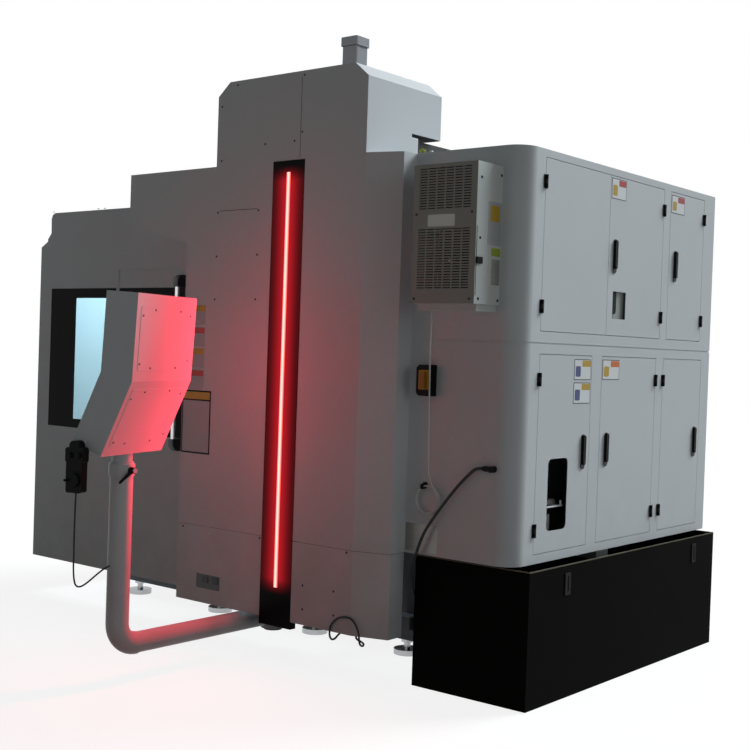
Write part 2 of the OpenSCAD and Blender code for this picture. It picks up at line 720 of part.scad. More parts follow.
// Sliding door
leaf_y = room_in + leaf_gap;
leaf_y1 = leaf_y + leaf_d;
leaf_x = opening_x - leaf_lap;
leaf_x1 = opening_x1 + leaf_lap;
leaf_z = opening_z - leaf_lap;
leaf_z1 = opening_z + opening_h + leaf_lap;
leaf_mid = (leaf_y + leaf_y1) / 2;
track_x = left_x + 150;
module tongue(z, h) block([leaf_x + 20, leaf_mid - tongue_w / 2, z],
    [leaf_x1 - 20, leaf_mid + tongue_w / 2, z + h]);
module front_door() color(white) {
    difference() {
        block([leaf_x, leaf_y, leaf_z], [leaf_x1, leaf_y1, leaf_z1]);
        block([leaf_x + sheet_t, leaf_y + pane_t + sheet_t, leaf_z + sheet_t + tongue_h],
            [leaf_x1 - sheet_t, leaf_y1 + eps, leaf_z1 - sheet_t - tongue_h]);
        block([leaf_x + leaf_border, leaf_y - eps, window_z],
            [leaf_x1 - leaf_border, leaf_y + pane_t, window_z + window_h]);
        block([leaf_x + leaf_border + 15, leaf_y - eps, window_z + 15],
            [leaf_x1 - leaf_border - 15, leaf_y1, window_z + window_h - 15]);
    }
    tongue(leaf_z1 - eps, tongue_h + eps);
    tongue(leaf_z - tongue_h, tongue_h + eps);
}
module door_window() color([0.7, 0.9, 0.95, 0.4])
    block([leaf_x + leaf_border, leaf_y, window_z],
        [leaf_x1 - leaf_border, leaf_y + pane_t, window_z + window_h]);
grip_x = opening_x1 - grip_in;
grip_y = leaf_y - grip_proud;
grip_z = window_z + window_h / 2 - grip_l / 2;
module door_handle() color(steel) {
    rod_z(grip_x, grip_y, grip_z, grip_z + grip_l, grip_dia / 2);
    for (z = [grip_z, grip_z + grip_l - 70]) {
        block([grip_x - 22, grip_y - 22, z], [grip_x + 22, grip_y + 22, z + 70]);
        block([grip_x - 18, grip_y, z + 10], [grip_x + 18, leaf_y, z + 60]);
    }
}
module track(z) difference() {
    block([track_x, room_in, z], [room_end, leaf_y1 + 15, z + track_h]);
    children();
}
module door_tracks() {
    track(leaf_z1 + run_gap) block([track_x - eps, leaf_mid - tongue_w / 2 - run_gap, leaf_z1],
        [room_end + eps, leaf_mid + tongue_w / 2 + run_gap, leaf_z1 + tongue_h + 2 * run_gap]);
    track(leaf_z - run_gap - track_h) block([track_x - eps, leaf_mid - tongue_w / 2 - run_gap,
        leaf_z - tongue_h - run_gap], [room_end + eps, leaf_mid + tongue_w / 2 + run_gap, leaf_z]);
}

// Cabinet: plan with one rounded corner, halves with a folded frame on the door side
module cab_plan(d) {
    translate([cab_x + d, cab_y + d]) square([cab_w - cab_r - d, cab_l - 2 * d]);
    translate([cab_x + d, cab_y + cab_r]) square([cab_w - 2 * d, cab_l - cab_r - d]);
    translate([cab_x1 - cab_r, cab_y + cab_r]) circle(cab_r - d);
}
// Door openings from front to rear, along the cabinet
upper_doors = [[cab_y + 180, cab_y + 1391], [cab_y + 1474, cab_y + 1895]];
upper_meet = cab_y + 799;
lower_doors = [[cab_y + 184, cab_y + 668], [cab_y + 773, cab_y + 1360], [cab_y + 1452, cab_y + 1930]];
module cabinet_half(z, z1, doors, door_z, door_h) difference() {
    along_z(z, z1) cab_plan(0);
    intersection() {
        along_z(z + sheet_t, z1 - sheet_t) cab_plan(sheet_t);
        block([cab_x, cab_y, z], [cab_x1 - frame_d, cab_y1, z1]);
    }
    for (d = doors) {
        block([cab_x1 - pan_d - 2, d[0] - door_gap, door_z - door_gap],
            [cab_x1 + eps, d[1] + door_gap, door_z + door_h + door_gap]);
        block([cab_x1 - frame_d - eps, d[0] + stop_w, door_z + stop_w],
            [cab_x1, d[1] - stop_w, door_z + door_h - stop_w]);
    }
}
module lower_cabinet() color(white) {
    cabinet_half(cab_z, cab_seam_z - cab_seam_h / 2, lower_doors, lower_z, lower_h);
    along_z(cab_seam_z - cab_seam_h / 2 - eps, cab_seam_z + cab_seam_h / 2) difference() {
        cab_plan(5);
        cab_plan(5 + sheet_t);
    }
    // Return chute over the tank
    block([cab_x1 - 160, cab_y + 860, cab_z - 55], [cab_x1 - 40, cab_y + 980, cab_z + eps]);
}
module upper_cabinet() color(white)
    cabinet_half(cab_seam_z + cab_seam_h / 2, cab_top, upper_doors, upper_z, upper_h);

// Mounting plate with drives and breakers on the cabinet's inner wall
module drive_plate() color("silver") {
    x = cab_x + sheet_t;
    block([x, cab_y + 120, upper_z], [x + 4, cab_y1 - 120, upper_z + upper_h - 20]);
    for (i = [0:4])
        block([x + 3, cab_y + 200 + i * 130, upper_z + 300], [x + 230, cab_y + 310 + i * 130, upper_z + 680]);
    for (i = [0:9])
        block([x + 3, cab_y + 980 + i * 70, upper_z + 480], [x + 90, cab_y + 1035 + i * 70, upper_z + 580]);
    for (z = [upper_z + 90, upper_z + 710])
        block([x + 3, cab_y + 160, z], [x + 60, cab_y1 - 160, z + 50]);
}
vision_y = lower_doors[0][0] + 107;
vision_z = lower_z + 97;
module lubrication_unit() color("white") {
    block([cab_x1 - 330, vision_y - 40, cab_z + sheet_t],
        [cab_x1 - 130, vision_y + vision_w + 10, vision_z + 40]);
    rod_y(cab_x1 - 100, vision_y - 60, vision_y + vision_w + 40, vision_z + 116, 16);
    rod_z(cab_x1 - 100, vision_y + 134, vision_z + 60, vision_z + 116, 11);
    block([cab_x1 - 140, vision_y + 110, cab_z + sheet_t],
        [cab_x1 - 80, vision_y + 160, vision_z + 60 + eps]);
}

// Hinges: the frame's knuckles carry the pin, the door's knuckle turns on it
upper_hinge_zs = [upper_z + 112, upper_z + 685];
lower_hinge_zs = [lower_z + 110, lower_z + 810];
hinge_x = cab_x1 + hinge_proud;
third = hinge_h / 3;
// side is 1 where the leaf lies towards +Y of its axis
module hinge_leaf(y, z, side) {
    ya = y + side * (knuckle_r + 0.5);
    yb = y + side * hinge_w;
    block([cab_x1, min(ya, yb), z - hinge_h / 2], [cab_x1 + hinge_t, max(ya, yb), z + hinge_h / 2]);
}
module knuckle(y, z, h, side) {
    rod_z(hinge_x, y, z, z + h, knuckle_r);
    block([cab_x1, min(y, y + side * (knuckle_r + eps)), z],
        [cab_x1 + hinge_t, max(y, y + side * (knuckle_r + eps)), z + h]);
}
module frame_hinge(y, z, side) {
    hinge_leaf(y, z, side);
    for (z0 = [z - hinge_h / 2, z + hinge_h / 2 - third + run_gap])
        knuckle(y, z0, third - run_gap, side);
    rod_z(hinge_x, y, z - hinge_h / 2, z + hinge_h / 2, pin_r);
}
module door_hinge(y, z, side) {
    hinge_leaf(y, z, side);
    knuckle(y, z - third / 2, third, side);
}
// Each door: front edge, rear edge, lower edge, height, hinge heights, 1 where its hinge is on the front edge
ul = [upper_doors[0][0], upper_meet - door_gap / 2, upper_z, upper_h, upper_hinge_zs, 1];
ur = [upper_meet + door_gap / 2, upper_doors[0][1], upper_z, upper_h, upper_hinge_zs, -1];
us = [upper_doors[1][0], upper_doors[1][1], upper_z, upper_h, upper_hinge_zs, -1];
ll = [lower_doors[0][0], lower_doors[0][1], lower_z, lower_h, lower_hinge_zs, 1];
lm = [lower_doors[1][0], lower_doors[1][1], lower_z, lower_h, lower_hinge_zs, -1];
lr = [lower_doors[2][0], lower_doors[2][1], lower_z, lower_h, lower_hinge_zs, 1];
function hinge_y(d) = d[5] > 0 ? d[0] - door_gap / 2 : d[1] + door_gap / 2;
module cabinet_hinges() color(black)
    for (d = [ul, ur, us, ll, lm, lr], z = d[4]) frame_hinge(hinge_y(d), z, -d[5]);

// Swing handles: distance in from each door's free edge, and pivot height above the door's foot
swing_in = [60, 72, 60, 66, 63];
swing_pivot = [465, 465, 527, 530, 534];
function swing_y(d, i) = d[5] > 0 ? d[1] - swing_in[i] : d[0] + swing_in[i];
function swing_z(d, i) = d[2] + swing_pivot[i];
swing_pin_r = 6;
module dish(d, i) translate([0, swing_y(d, i) - dish_w / 2, swing_z(d, i) - dish_h + dish_w / 2])
    along_x(cab_x1 - eps, cab_x1 + dish_t) rounded(dish_w, dish_h, dish_w / 2 - 1);
module swing(d, i) color(black) translate([0, swing_y(d, i), swing_z(d, i)]) {
    translate([0, -swing_w / 2, swing_w / 2 - dish_h + dish_w - 8])
        along_x(cab_x1 + dish_t + run_gap, cab_x1 + dish_t + swing_t)
            rounded(swing_w, dish_h - dish_w + 8, swing_w / 2 - 1);
    rod_x(cab_x1 - 2, cab_x1 + dish_t + 1, 0, 0, swing_pin_r);
}
module pan(d) {
    difference() {
        block([cab_x1 - pan_d, d[0], d[2]], [cab_x1, d[1], d[2] + d[3]]);
        block([cab_x1 - pan_d - eps, d[0] + pan_t, d[2] + pan_t],
            [cab_x1 - pan_t, d[1] - pan_t, d[2] + d[3] - pan_t]);
        children();
    }
    difference() {
        for (z = d[4]) door_hinge(hinge_y(d), z, d[5]);
        for (z = d[4]) rod_z(hinge_x, hinge_y(d), z - hinge_h, z + hinge_h, pin_r + pin_gap);
    }
}
module handled_pan(d, i) {
    difference() {
        union() {
            pan(d) children();
            dish(d, i);
        }
        rod_x(cab_x1 - pan_d, cab_x1 + dish_t + eps, swing_y(d, i), swing_z(d, i), swing_pin_r + pin_gap);
    }
}
module upper_left_door() color(white) pan(ul);
cutout_in = 56;
cutout_up = 84;
module upper_right_door() color(white) handled_pan(ur, 0)
    translate([0, ur[0] + cutout_in, upper_z + cutout_up])
        along_x(cab_x1 - pan_d, cab_x1 + eps) square(cutout_w);
module upper_rear_door() color(white) handled_pan(us, 1);
module lower_left_door() color(white) handled_pan(ll, 2)
    translate([0, vision_y, vision_z]) along_x(cab_x1 - pan_d, cab_x1 + eps) rounded(vision_w, vision_h, 28);
module lower_middle_door() color(white) handled_pan(lm, 3);
module lower_rear_door() color(white) handled_pan(lr, 4);
module upper_right_handle() swing(ur, 0);
module upper_rear_handle() swing(us, 1);
module lower_left_handle() swing(ll, 2);
module lower_middle_handle() swing(lm, 3);
module lower_rear_handle() swing(lr, 4);

// Cooling unit
cooler_x = cab_x + cooler_in;
cooler_x1 = cooler_x + cooler_w;
cooler_y = cab_y - cooler_d;
cooler_top = cooler_z + cooler_h;
fan_x = cooler_x + cooler_w / 2;
fan_z = cooler_z + 199;
module cooler_housing() color(white) {
    difference() {
        block([cooler_x, cooler_y + sheet_t, cooler_z], [cooler_x1, cab_y, cooler_top]);
        block([cooler_x + sheet_t, cooler_y, cooler_z + sheet_t],
            [cooler_x1 - sheet_t, cab_y - sheet_t, cooler_top - sheet_t]);
    }
    rod_y(fan_x, cab_y - 100, cab_y - eps, fan_z, 42);
    rod_y(fan_x, cab_y - 150, cab_y - 99, fan_z, fan_shaft_r);
    grille();
    // Drain tray and spout under the housing
    block([cooler_x + 15, cooler_y + 40, cooler_z - 30], [cooler_x1 - 15, cab_y, cooler_z + eps]);
    rod_z(cooler_x + 55, hose_y, cooler_z - 50, cooler_z - 29, 6);
}
slot_cols = 6;
louvre_h = 5;
louvre_pitch = 12;
// One block of louvres: its top below the cooler's top, and its rows
module louvres(top, rows) for (i = [0:slot_cols - 1], j = [0:rows - 1])
    translate([30 + i * (cooler_w - 60) / slot_cols + 3, cooler_h - top - louvre_h - j * louvre_pitch])
        square([(cooler_w - 60) / slot_cols - 6, louvre_h]);
module grille() translate([cooler_x, 0, cooler_z])
    along_y(cooler_y, cooler_y + sheet_t + eps) difference() {
        square([cooler_w, cooler_h]);
        louvres(18, 16);
        louvres(294, 23);
    }
blades = 7;
module cooler_fan() color(black) difference() {
    union() {
        rod_y(fan_x, cab_y - 148, cab_y - 101, fan_z, 34);
        for (a = [0:360 / blades:359]) translate([fan_x, cab_y - 125, fan_z]) rotate([0, a, 0])
            translate([30, 0, 0]) rotate([35, 0, 0]) translate([0, -1.5, -26]) cube([fan_r - 30, 3, 52]);
    }
    rod_y(fan_x, cab_y - 160, cab_y - 90, fan_z, fan_shaft_r + pin_gap);
}
hose_y = cab_y - 105;

// Main switch, gland and plate fixings on the cabinet's front
switch_x = cab_x + 72;
switch_z = 1402;
switch_w = 86;
switch_h = 147;
switch_d = 46;
switch_axis = [switch_x + switch_w / 2 + 6, switch_z + switch_h / 2];
lever_w = 26;
lever_h = 84;
module main_switch() color(black) difference() {
    union() {
        along_y(cab_y - switch_d, cab_y) polygon([[switch_x, switch_z + 15], [switch_x + 15, switch_z],
            [switch_x + switch_w, switch_z], [switch_x + switch_w, switch_z + switch_h],
            [switch_x + 15, switch_z + switch_h], [switch_x, switch_z + switch_h - 15]]);
        // Elbow gland of the power cable
        rod_y(gland[0], gland[1] - 14, cab_y, gland[2], 15);
        rod_x(gland[0] - 40, gland[0], gland[1], gland[2], 13);
        rod_x(gland[0] - 52, gland[0] - 39, gland[1], gland[2], 10);
    }
    rod_y(switch_axis[0], cab_y - switch_d - eps, cab_y - 20, switch_axis[1], 8 + pin_gap);
}
module switch_handle() color(black) {
    rod_y(switch_axis[0], cab_y - switch_d - 12, cab_y - 22, switch_axis[1], 8);
    translate([switch_axis[0] - lever_w / 2, 0, switch_axis[1] - lever_h / 2])
        along_y(cab_y - switch_d - 22, cab_y - switch_d - run_gap) rounded(lever_w, lever_h, 8);
}

// Coolant tank
tank_x = cab_x + tank_in;
tank_y = cab_y + tank_back;
// Middles of the lugs as shares of the tank's length, and the lugs' size
lug_shares = [0.17, 0.867];
lug_w = 48;
lug_h = 104;
lug_slot = 14;
module coolant_tank() color(black) {
    difference() {
        block([tank_x, tank_y, 0], [tank_x + tank_w, tank_y + tank_l, tank_h]);
        block([tank_x + tank_t, tank_y + tank_t, tank_t],
            [tank_x + tank_w - tank_t, tank_y + tank_l - tank_t, tank_h + eps]);
    }
    // Slotted lugs on the long side, and the pump on the floor inside
    for (s = lug_shares) translate([tank_x + tank_w, tank_y + s * tank_l, tank_h - 40 - lug_h]) difference() {
        block([-eps, -lug_w / 2, 0], [5, lug_w / 2, lug_h]);
        block([2, -lug_slot / 2, 16], [6, lug_slot / 2, lug_h - 16]);
    }
    rod_z(tank_x + 150, tank_y + 200, tank_t - eps, 420, 62);
    rod_z(tank_x + 150, tank_y + 200, 419, 580, 80);
}

// Console arm: boss on the pivot, tube, elbow and post
pivot_y = room_in + tube_w / 2;
pivot_foot = arm_z - 70;
post_y = pivot_y - arm_l;
collar_z = post_top - 65;
module console_arm() color(white) {
    difference() {
        union() {
            rod_z(arm_x, pivot_y, pivot_foot + run_gap, frame_z - pivot_plate_t - run_gap, pivot_r + 35);
            rod_y(arm_x, post_y + elbow_r, pivot_y, arm_z, arm_r);
        }
        rod_z(arm_x, pivot_y, pivot_foot - eps, frame_z, pivot_r + pin_gap);
    }
    translate([arm_x, post_y + elbow_r, arm_z + elbow_r]) rotate([90, 0, 270])
        rotate_extrude(angle = -90) translate([elbow_r, 0]) circle(post_r);
    rod_z(arm_x, post_y, arm_z + elbow_r - eps, post_top, post_r);
    rod_z(arm_x, post_y, collar_z, post_top - 10, post_r + 8);
    // Stud of the clamp lever
    rod_x(clamp_x - 15, clamp_x + 36, post_y, clamp_z, 8);
    rod_x(clamp_x + 32, clamp_x + 36, post_y, clamp_z, 12);
}
clamp_x = arm_x + post_r + 8;
clamp_z = collar_z + 28;
module clamp_lever() color(black) difference() {
    union() {
        rod_x(clamp_x + 2, clamp_x + 31, post_y, clamp_z, 15);
        translate([clamp_x + 18, post_y, clamp_z]) rotate([125, 0, 0]) cylinder(r1 = 9, r2 = 6, h = 95);
    }
    rod_x(clamp_x, clamp_x + 33, post_y, clamp_z, 8 + pin_gap);
}

// Console: a bent housing of even thickness, in its own frame with X towards the operator
module at_console() translate([arm_x, post_y, 0]) rotate(console_turn) children();
module on_console() at_console() translate([0, console_shift, 0]) children();
lower_rise = console_bend_z - console_z;
upper_rise = console_top - console_bend_z;
// The post meets the middle of the lower face
rear_x = -console_t / 2 * cos(lower_lean);
rear = [[rear_x, console_z], [rear_x - lower_rise * tan(lower_lean), console_bend_z],
    [rear_x - lower_rise * tan(lower_lean) - upper_rise * tan(upper_lean), console_top]];
front = beside(rear, -console_t);
lower_leg = norm(front[1] - front[0]);
upper_leg = norm(front[2] - front[1]);
// Puts children on a leg's front face: X across, Y up the leg, Z out of the face
module on_leg(a, b) {
    c = (b - a) / norm(b - a);
    multmatrix([[0, c.x, c.y, a.x], [1, 0, 0, 0], [0, c.y, -c.x, a.y], [0, 0, 0, 1]]) children();
}
panel_side = 25;
panel_w = console_w - 2 * panel_side;
stop_at = [175, 60];
knob_at = [95, 70];
control_depth = 40;
module console_housing() color(white) {
    on_console() difference() {
        along_y(-console_w / 2, console_w / 2) polygon(concat(rear, reversed(front)));
        on_leg(front[0], front[1])
            block([-panel_w / 2, panel_side, -recess_d], [panel_w / 2, lower_leg - panel_side, eps]);
        on_leg(front[1], front[2])
            block([-panel_w / 2, panel_side, -recess_d], [panel_w / 2, upper_leg - panel_side, eps]);
        on_leg(front[0], front[1]) for (c = [stop_at, knob_at])
            rod_z(c[0], c[1], -recess_d - control_depth, 0, button_r + 6);
    }
    at_console() rod_z(0, 0, post_top + run_gap, console_z + console_t / 2 * sin(lower_lean) - 4, post_r - 6);
    // Hook that carries the hand unit
    on_console() block([pendant_x + 25, console_w / 2 - eps, console_z + 40],
        [pendant_x + pendant_w - 45, console_w / 2 + 6, console_z + 70]);
}
key_pitch = 24;
key_x = 39 - panel_w / 2;
module operator_panel() color("dimgray") on_console() {
    on_leg(front[0], front[1]) {
        difference() {
            block([-panel_w / 2, panel_side, -recess_d],
                [panel_w / 2, lower_leg - panel_side, panel_t - recess_d]);
            for (c = [stop_at, knob_at]) rod_z(c[0], c[1], -recess_d - eps, 0, button_r + pin_gap);
        }
        for (i = [0:15], j = [0:5])
            translate([key_x + i * key_pitch, lower_leg - 60 - j * key_pitch, panel_t - recess_d - eps])
                cube([18, 18, 3]);
    }
    on_leg(front[1], front[2])
        difference() {
            block([-panel_w / 2, panel_side, -recess_d],
                [panel_w / 2, upper_leg - panel_side, panel_t - recess_d]);
            block([-screen_w / 2, (upper_leg - screen_h) / 2, -recess_d + 2],
                [screen_w / 2, (upper_leg + screen_h) / 2, 0]);
        }
}
module screen() color("black") on_console() on_leg(front[1], front[2])
    block([-screen_w / 2, (upper_leg - screen_h) / 2, -recess_d + 2],
        [screen_w / 2, (upper_leg + screen_h) / 2, panel_t - recess_d]);
module at_control(c) on_console() on_leg(front[0], front[1]) translate([c[0], c[1], 0]) children();
module stop_button() color("red") at_control(stop_at) {
    rod_z(0, 0, -recess_d - control_depth + 12, 8, button_r);
    rod_z(0, 0, 7, 24, 20);
}
module override_knob() color(black) at_control(knob_at) {
    rod_z(0, 0, -recess_d - control_depth + 12, 2, button_r);
    difference() {
        rod_z(0, 0, run_gap, 20, 22);
        for (a = [0:45:359]) rotate(a) rod_z(25, 0, -eps, 21, 6);
    }
    block([-3, 0, 10], [3, 21, 23]);
}

// Hand unit on the console's near side
pendant_x = front[0].x - pendant_w;
pendant_y = console_w / 2 + 6;
pendant_face = pendant_y + pendant_d;
wheel_at = [pendant_x + pendant_w / 2, pendant_z + 58];
module hand_unit() color(black) on_console() {
    difference() {
        translate([pendant_x, 0, pendant_z]) along_y(pendant_y, pendant_face) {
            translate([6, 0]) rounded(pendant_w - 12, pendant_h - 70, 12);
            translate([0, pendant_h - 100]) rounded(pendant_w, 70, 14);
            translate([20, pendant_h - 80]) rounded(pendant_w - 40, 80, 24);
        }
        rod_y(wheel_at[0], pendant_face - 28, pendant_face + eps, wheel_at[1], 5 + pin_gap);
    }
    for (x = [24, pendant_w - 24])
        rod_y(pendant_x + x, pendant_face - eps, pendant_face + 12, pendant_z + pendant_h - 65, 13);
}
module hand_wheel() color(black) on_console() {
    rod_y(wheel_at[0], pendant_face + run_gap, pendant_face + 14, wheel_at[1], wheel_r);
    rod_y(wheel_at[0], pendant_face - 26, pendant_face + eps, wheel_at[1], 5);
    rod_y(wheel_at[0] + wheel_r - 9, pendant_face + 13, pendant_face + 34, wheel_at[1], 6);
}

// Cords: tubes swept along points chosen by hand, straight at both ends
function tangent(p, i) = unit(p[min(i + 1, len(p) - 1)] - p[max(i - 1, 0)]);
function side_of(t) = unit(cross(t, abs(t.z) < 0.9 ? [0, 0, 1] : [1, 0, 0]));
function ring(c, t, r, n) = let (u = side_of(t), v = cross(t, u))
    [for (k = [0:n - 1]) c + r * (cos(360 * k / n) * u + sin(360 * k / n) * v)];
module cord(p, r, n = 8) {
    m = len(p);
    polyhedron(points = [for (i = [0:m - 1]) each ring(p[i], tangent(p, i), r, n)],
        faces = concat([[for (k = [0:n - 1]) k]], [[for (k = [n - 1:-1:0]) (m - 1) * n + k]],
            [for (i = [0:m - 2], k = [0:n - 1])
                [i * n + k, (i + 1) * n + k, (i + 1) * n + (k + 1) % n, i * n + (k + 1) % n]]));
}
// Power cable, from the gland on the cabinet to the gland on the base frame
gland = [cab_x + 500, cab_y - 20, 1086];
cable_foot = [21, 101, frame_z + 44];
cable_route = [[448, -20, 1086], [438, -20, 1086], [424, -20, 1084], [407, -21, 1077], [390, -22, 1064],
    [360, -23, 1036], [316, -25, 990], [272, -27, 938], [233, -29, 889], [198, -31, 842],
    [168, -33, 799], [142, -35, 757], [123, -36, 715], [108, -35, 678], [95, -32, 646], [83, -26, 612],
    [70, -16, 578], [56, -3, 543], [42, 15, 508], [31, 37, 474], [24, 60, 440], [21, 79, 408],
    [21, 90, 378], [21, 97, 350], [21, 100, 324],
    cable_foot + [0, 0, 12], cable_foot];
module power_cable() color(black) translate([cab_x, cab_y, 0]) cord(cable_route, 7);
// Drain hose, and the tied coil that it ends in
coil_at = [142, 913];
coil_r = 65;
coil_w = 30;
hose_route = [[195, -105, 1780], [195, -105, 1768], [194, -105, 1735], [192, -104, 1690],
    [191, -103, 1640], [190, -101, 1580], [188, -96, 1500], [185, -90, 1420], [182, -84, 1350],
    [176, -74, 1270], [169, -62, 1195], [162, -51, 1130], [157, -42, 1080], [156, -36, 1045],
    [161, -32, 1016], [174, -30, 989], [190, -29, 962], [202, -28, 938], [206, -28, 922]];
module drain_hose() color([0.85, 0.9, 0.9]) translate([cab_x, cab_y, 0]) cord(hose_route, 4);
module hose_coil() color([0.85, 0.9, 0.9]) translate([cab_x + coil_at[0], cab_y - eps, coil_at[1]])
    rotate([90, 0, 0]) rotate_extrude() translate([coil_r - 5, 0]) rounded(10, coil_w, 4);
// Cable that loops out under the right skirt and back up to the frame
loop_route = [
    [800, 161, 0], [800, 161, -10], [800, 156, -30], [803, 141, -45], [808, 121, -50], [825, 91, -50],
    [843, 60, -50], [853, 33, -50], [858, 13, -45], [860, -2, -30], [861, -7, -10], [864, -7, 18],
    [881, -7, 45], [901, -7, 62], [925, -7, 74], [953, -7, 80], [982, -7, 81], [1003, -7, 73],
    [1020, -7, 59], [1034, -7, 39], [1044, -7, 15], [1048, -7, -8], [1048, -2, -30], [1046, 12, -44],
    [1040, 33, -50], [1020, 63, -50], [985, 90, -50], [945, 110, -50], [920, 126, -47], [908, 143, -40],
    [903, 156, -26], [903, 161, -12], [903, 161, 0]];
module loop_cable() color(black) translate([0, fascia_y, frame_z]) cord(loop_route, 5);
cord_route = [[29, 315, 930], [29, 315, 910], [30, 315, 880], [31, 315, 820], [32, 314, 760], [34, 311, 700],
    [37, 306, 640], [42, 298, 585], [48, 284, 540], [54, 265, 510], [58, 240, 494], [58, 210, 491],
    [54, 178, 500], [47, 147, 516], [38, 118, 534], [28, 92, 550], [18, 71, 561], [11, 60, 566]];
module hand_unit_cord() color(black) at_console() cord(cord_route, 4);

levelling_feet();
bed();
base_frame();
column();
axis_rails();
saddle();
table();
spindle_head();
spindle();
magazine_cylinder();
magazine_carriage();
tool_disc();
left_fascia();
right_fascia();
skirts();
light_panel();
light_strip();
tower_cover();
roof();
room_cover();
front_panel();
fixed_window();
loop_cable();
front_door();
door_window();
door_handle();
lower_cabinet();
upper_cabinet();
drive_plate();
lubrication_unit();
cabinet_hinges();
upper_left_door();
upper_right_door();
upper_rear_door();
lower_left_door();
lower_middle_door();
lower_rear_door();
upper_right_handle();
upper_rear_handle();
lower_left_handle();
lower_middle_handle();
lower_rear_handle();
cooler_housing();
cooler_fan();
drain_hose();
hose_coil();
main_switch();
switch_handle();
power_cable();
coolant_tank();
console_arm();
clamp_lever();
console_housing();
operator_panel();
screen();
stop_button();
override_knob();
hand_unit();
hand_wheel();
hand_unit_cord();
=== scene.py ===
# %% [markdown]
# # A milling machine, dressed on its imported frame
# The CAD frame holds every solid piece of this machine in its right size and place. This lesson puts the
# camera where the photograph was taken, gives each piece its finish, and adds what is too thin or too small
# for the solids: screws, plain fields, cover plates and locks. Sizes are written in millimetres, as on a
# workshop drawing, and one helper turns them into Blender's metres.

# %% Load the frame
import json
import math

import bpy
from mathutils import Matrix, Vector

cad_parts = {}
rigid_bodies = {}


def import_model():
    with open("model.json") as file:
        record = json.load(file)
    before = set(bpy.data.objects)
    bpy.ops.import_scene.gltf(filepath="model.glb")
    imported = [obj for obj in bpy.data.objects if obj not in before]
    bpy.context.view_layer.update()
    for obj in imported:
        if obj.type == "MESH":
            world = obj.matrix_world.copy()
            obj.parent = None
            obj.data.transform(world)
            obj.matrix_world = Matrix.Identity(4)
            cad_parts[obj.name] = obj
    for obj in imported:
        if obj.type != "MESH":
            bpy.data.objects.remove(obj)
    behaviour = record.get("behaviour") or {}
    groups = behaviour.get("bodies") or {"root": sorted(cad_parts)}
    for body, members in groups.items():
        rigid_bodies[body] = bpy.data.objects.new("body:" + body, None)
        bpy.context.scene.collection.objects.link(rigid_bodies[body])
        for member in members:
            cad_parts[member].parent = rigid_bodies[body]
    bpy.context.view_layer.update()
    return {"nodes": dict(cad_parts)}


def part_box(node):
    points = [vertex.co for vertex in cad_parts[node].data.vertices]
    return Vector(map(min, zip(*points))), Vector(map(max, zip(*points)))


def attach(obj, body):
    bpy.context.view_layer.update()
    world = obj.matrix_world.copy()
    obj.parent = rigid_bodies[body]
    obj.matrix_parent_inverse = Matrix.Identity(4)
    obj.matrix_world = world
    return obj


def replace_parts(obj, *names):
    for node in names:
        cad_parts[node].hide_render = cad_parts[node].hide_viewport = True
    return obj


bpy.ops.object.select_all(action="SELECT")
bpy.ops.object.delete()
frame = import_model()
nodes = frame["nodes"]
scene = bpy.context.scene
scene.view_settings.view_transform = "Standard"


def mm(*values):
    """Millimetres on the drawing to metres in Blender, as a vector."""
    return Vector(values) * 0.001


# %% [markdown]
# ## Camera
# The photograph was taken from the right front at eye height. The camera could be turned by hand until it
# looks right, but the machine's many straight edges allow a solution: its place, its three axes and its
# focal length. The matrix is written out of those axes. Blender's camera looks along its own -Z, so two
# axes change sign.

# %% Camera
CAMERA_PLACE = (4.755, -5.070, 1.600)
CAMERA_AXES = ((0.77635, 0.62942, 0.03398), (0.03808, 0.00699, -0.99925), (-0.6292, 0.7771, -0.0185))
LENS_MM, SENSOR_MM = 59.07, 36
across, down, ahead = (Vector(axis) for axis in CAMERA_AXES)
camera = bpy.data.objects.new("camera", bpy.data.cameras.new("camera"))
scene.collection.objects.link(camera)
turned = Matrix((across, -down, -ahead)).transposed().to_4x4()
camera.matrix_world = Matrix.Translation(CAMERA_PLACE) @ turned
camera.data.lens = LENS_MM
camera.data.sensor_width = SENSOR_MM
scene.camera = camera
print("camera at", tuple(round(v, 3) for v in camera.matrix_world.translation))

# %% [markdown]
# ## One recipe for most finishes
# Powder paint, plastic, rubber and castings differ in colour, gloss and grain. One function builds a
# Principled material from noise in Object coordinates: a slow drift in colour and gloss, and a fine bump
# for orange peel or cast skin. Object coordinates need no unwrapping and stay in place on every piece.
# Colours are written as they look on screen, and a small function turns them into the linear values that a
# shader works with.


# %% Helpers for shader nodes
def linear(srgb):
    """A screen colour of 0 to 255 as linear values."""
    return tuple(c / 12.92 if c <= 0.04045 else ((c + 0.055) / 1.055) ** 2.4 for c in (v / 255 for v in srgb))


def wire(tree, source, target):
    """A link from one socket to another."""
    tree.links.new(source, target)


def noise_in(tree, place, scale, detail=4.0, stretch=(1, 1, 1)):
    """A noise value in Object coordinates, stretched along the axes where asked."""
    mapping = tree.nodes.new("ShaderNodeMapping")
    mapping.inputs["Scale"].default_value = stretch
    wire(tree, place, mapping.inputs["Vector"])
    noise = tree.nodes.new("ShaderNodeTexNoise")
    noise.inputs["Scale"].default_value = scale
    noise.inputs["Detail"].default_value = detail
    wire(tree, mapping.outputs[0], noise.inputs["Vector"])
    return noise.outputs["Fac"]


def ranged(tree, value, low, high, start=0.3, end=0.7):
    """Maps a value from the range start to end on to low to high."""
    node = tree.nodes.new("ShaderNodeMapRange")
    for name, amount in (("From Min", start), ("From Max", end), ("To Min", low), ("To Max", high)):
        node.inputs[name].default_value = amount
    wire(tree, value, node.inputs["Value"])
    return node.outputs[0]


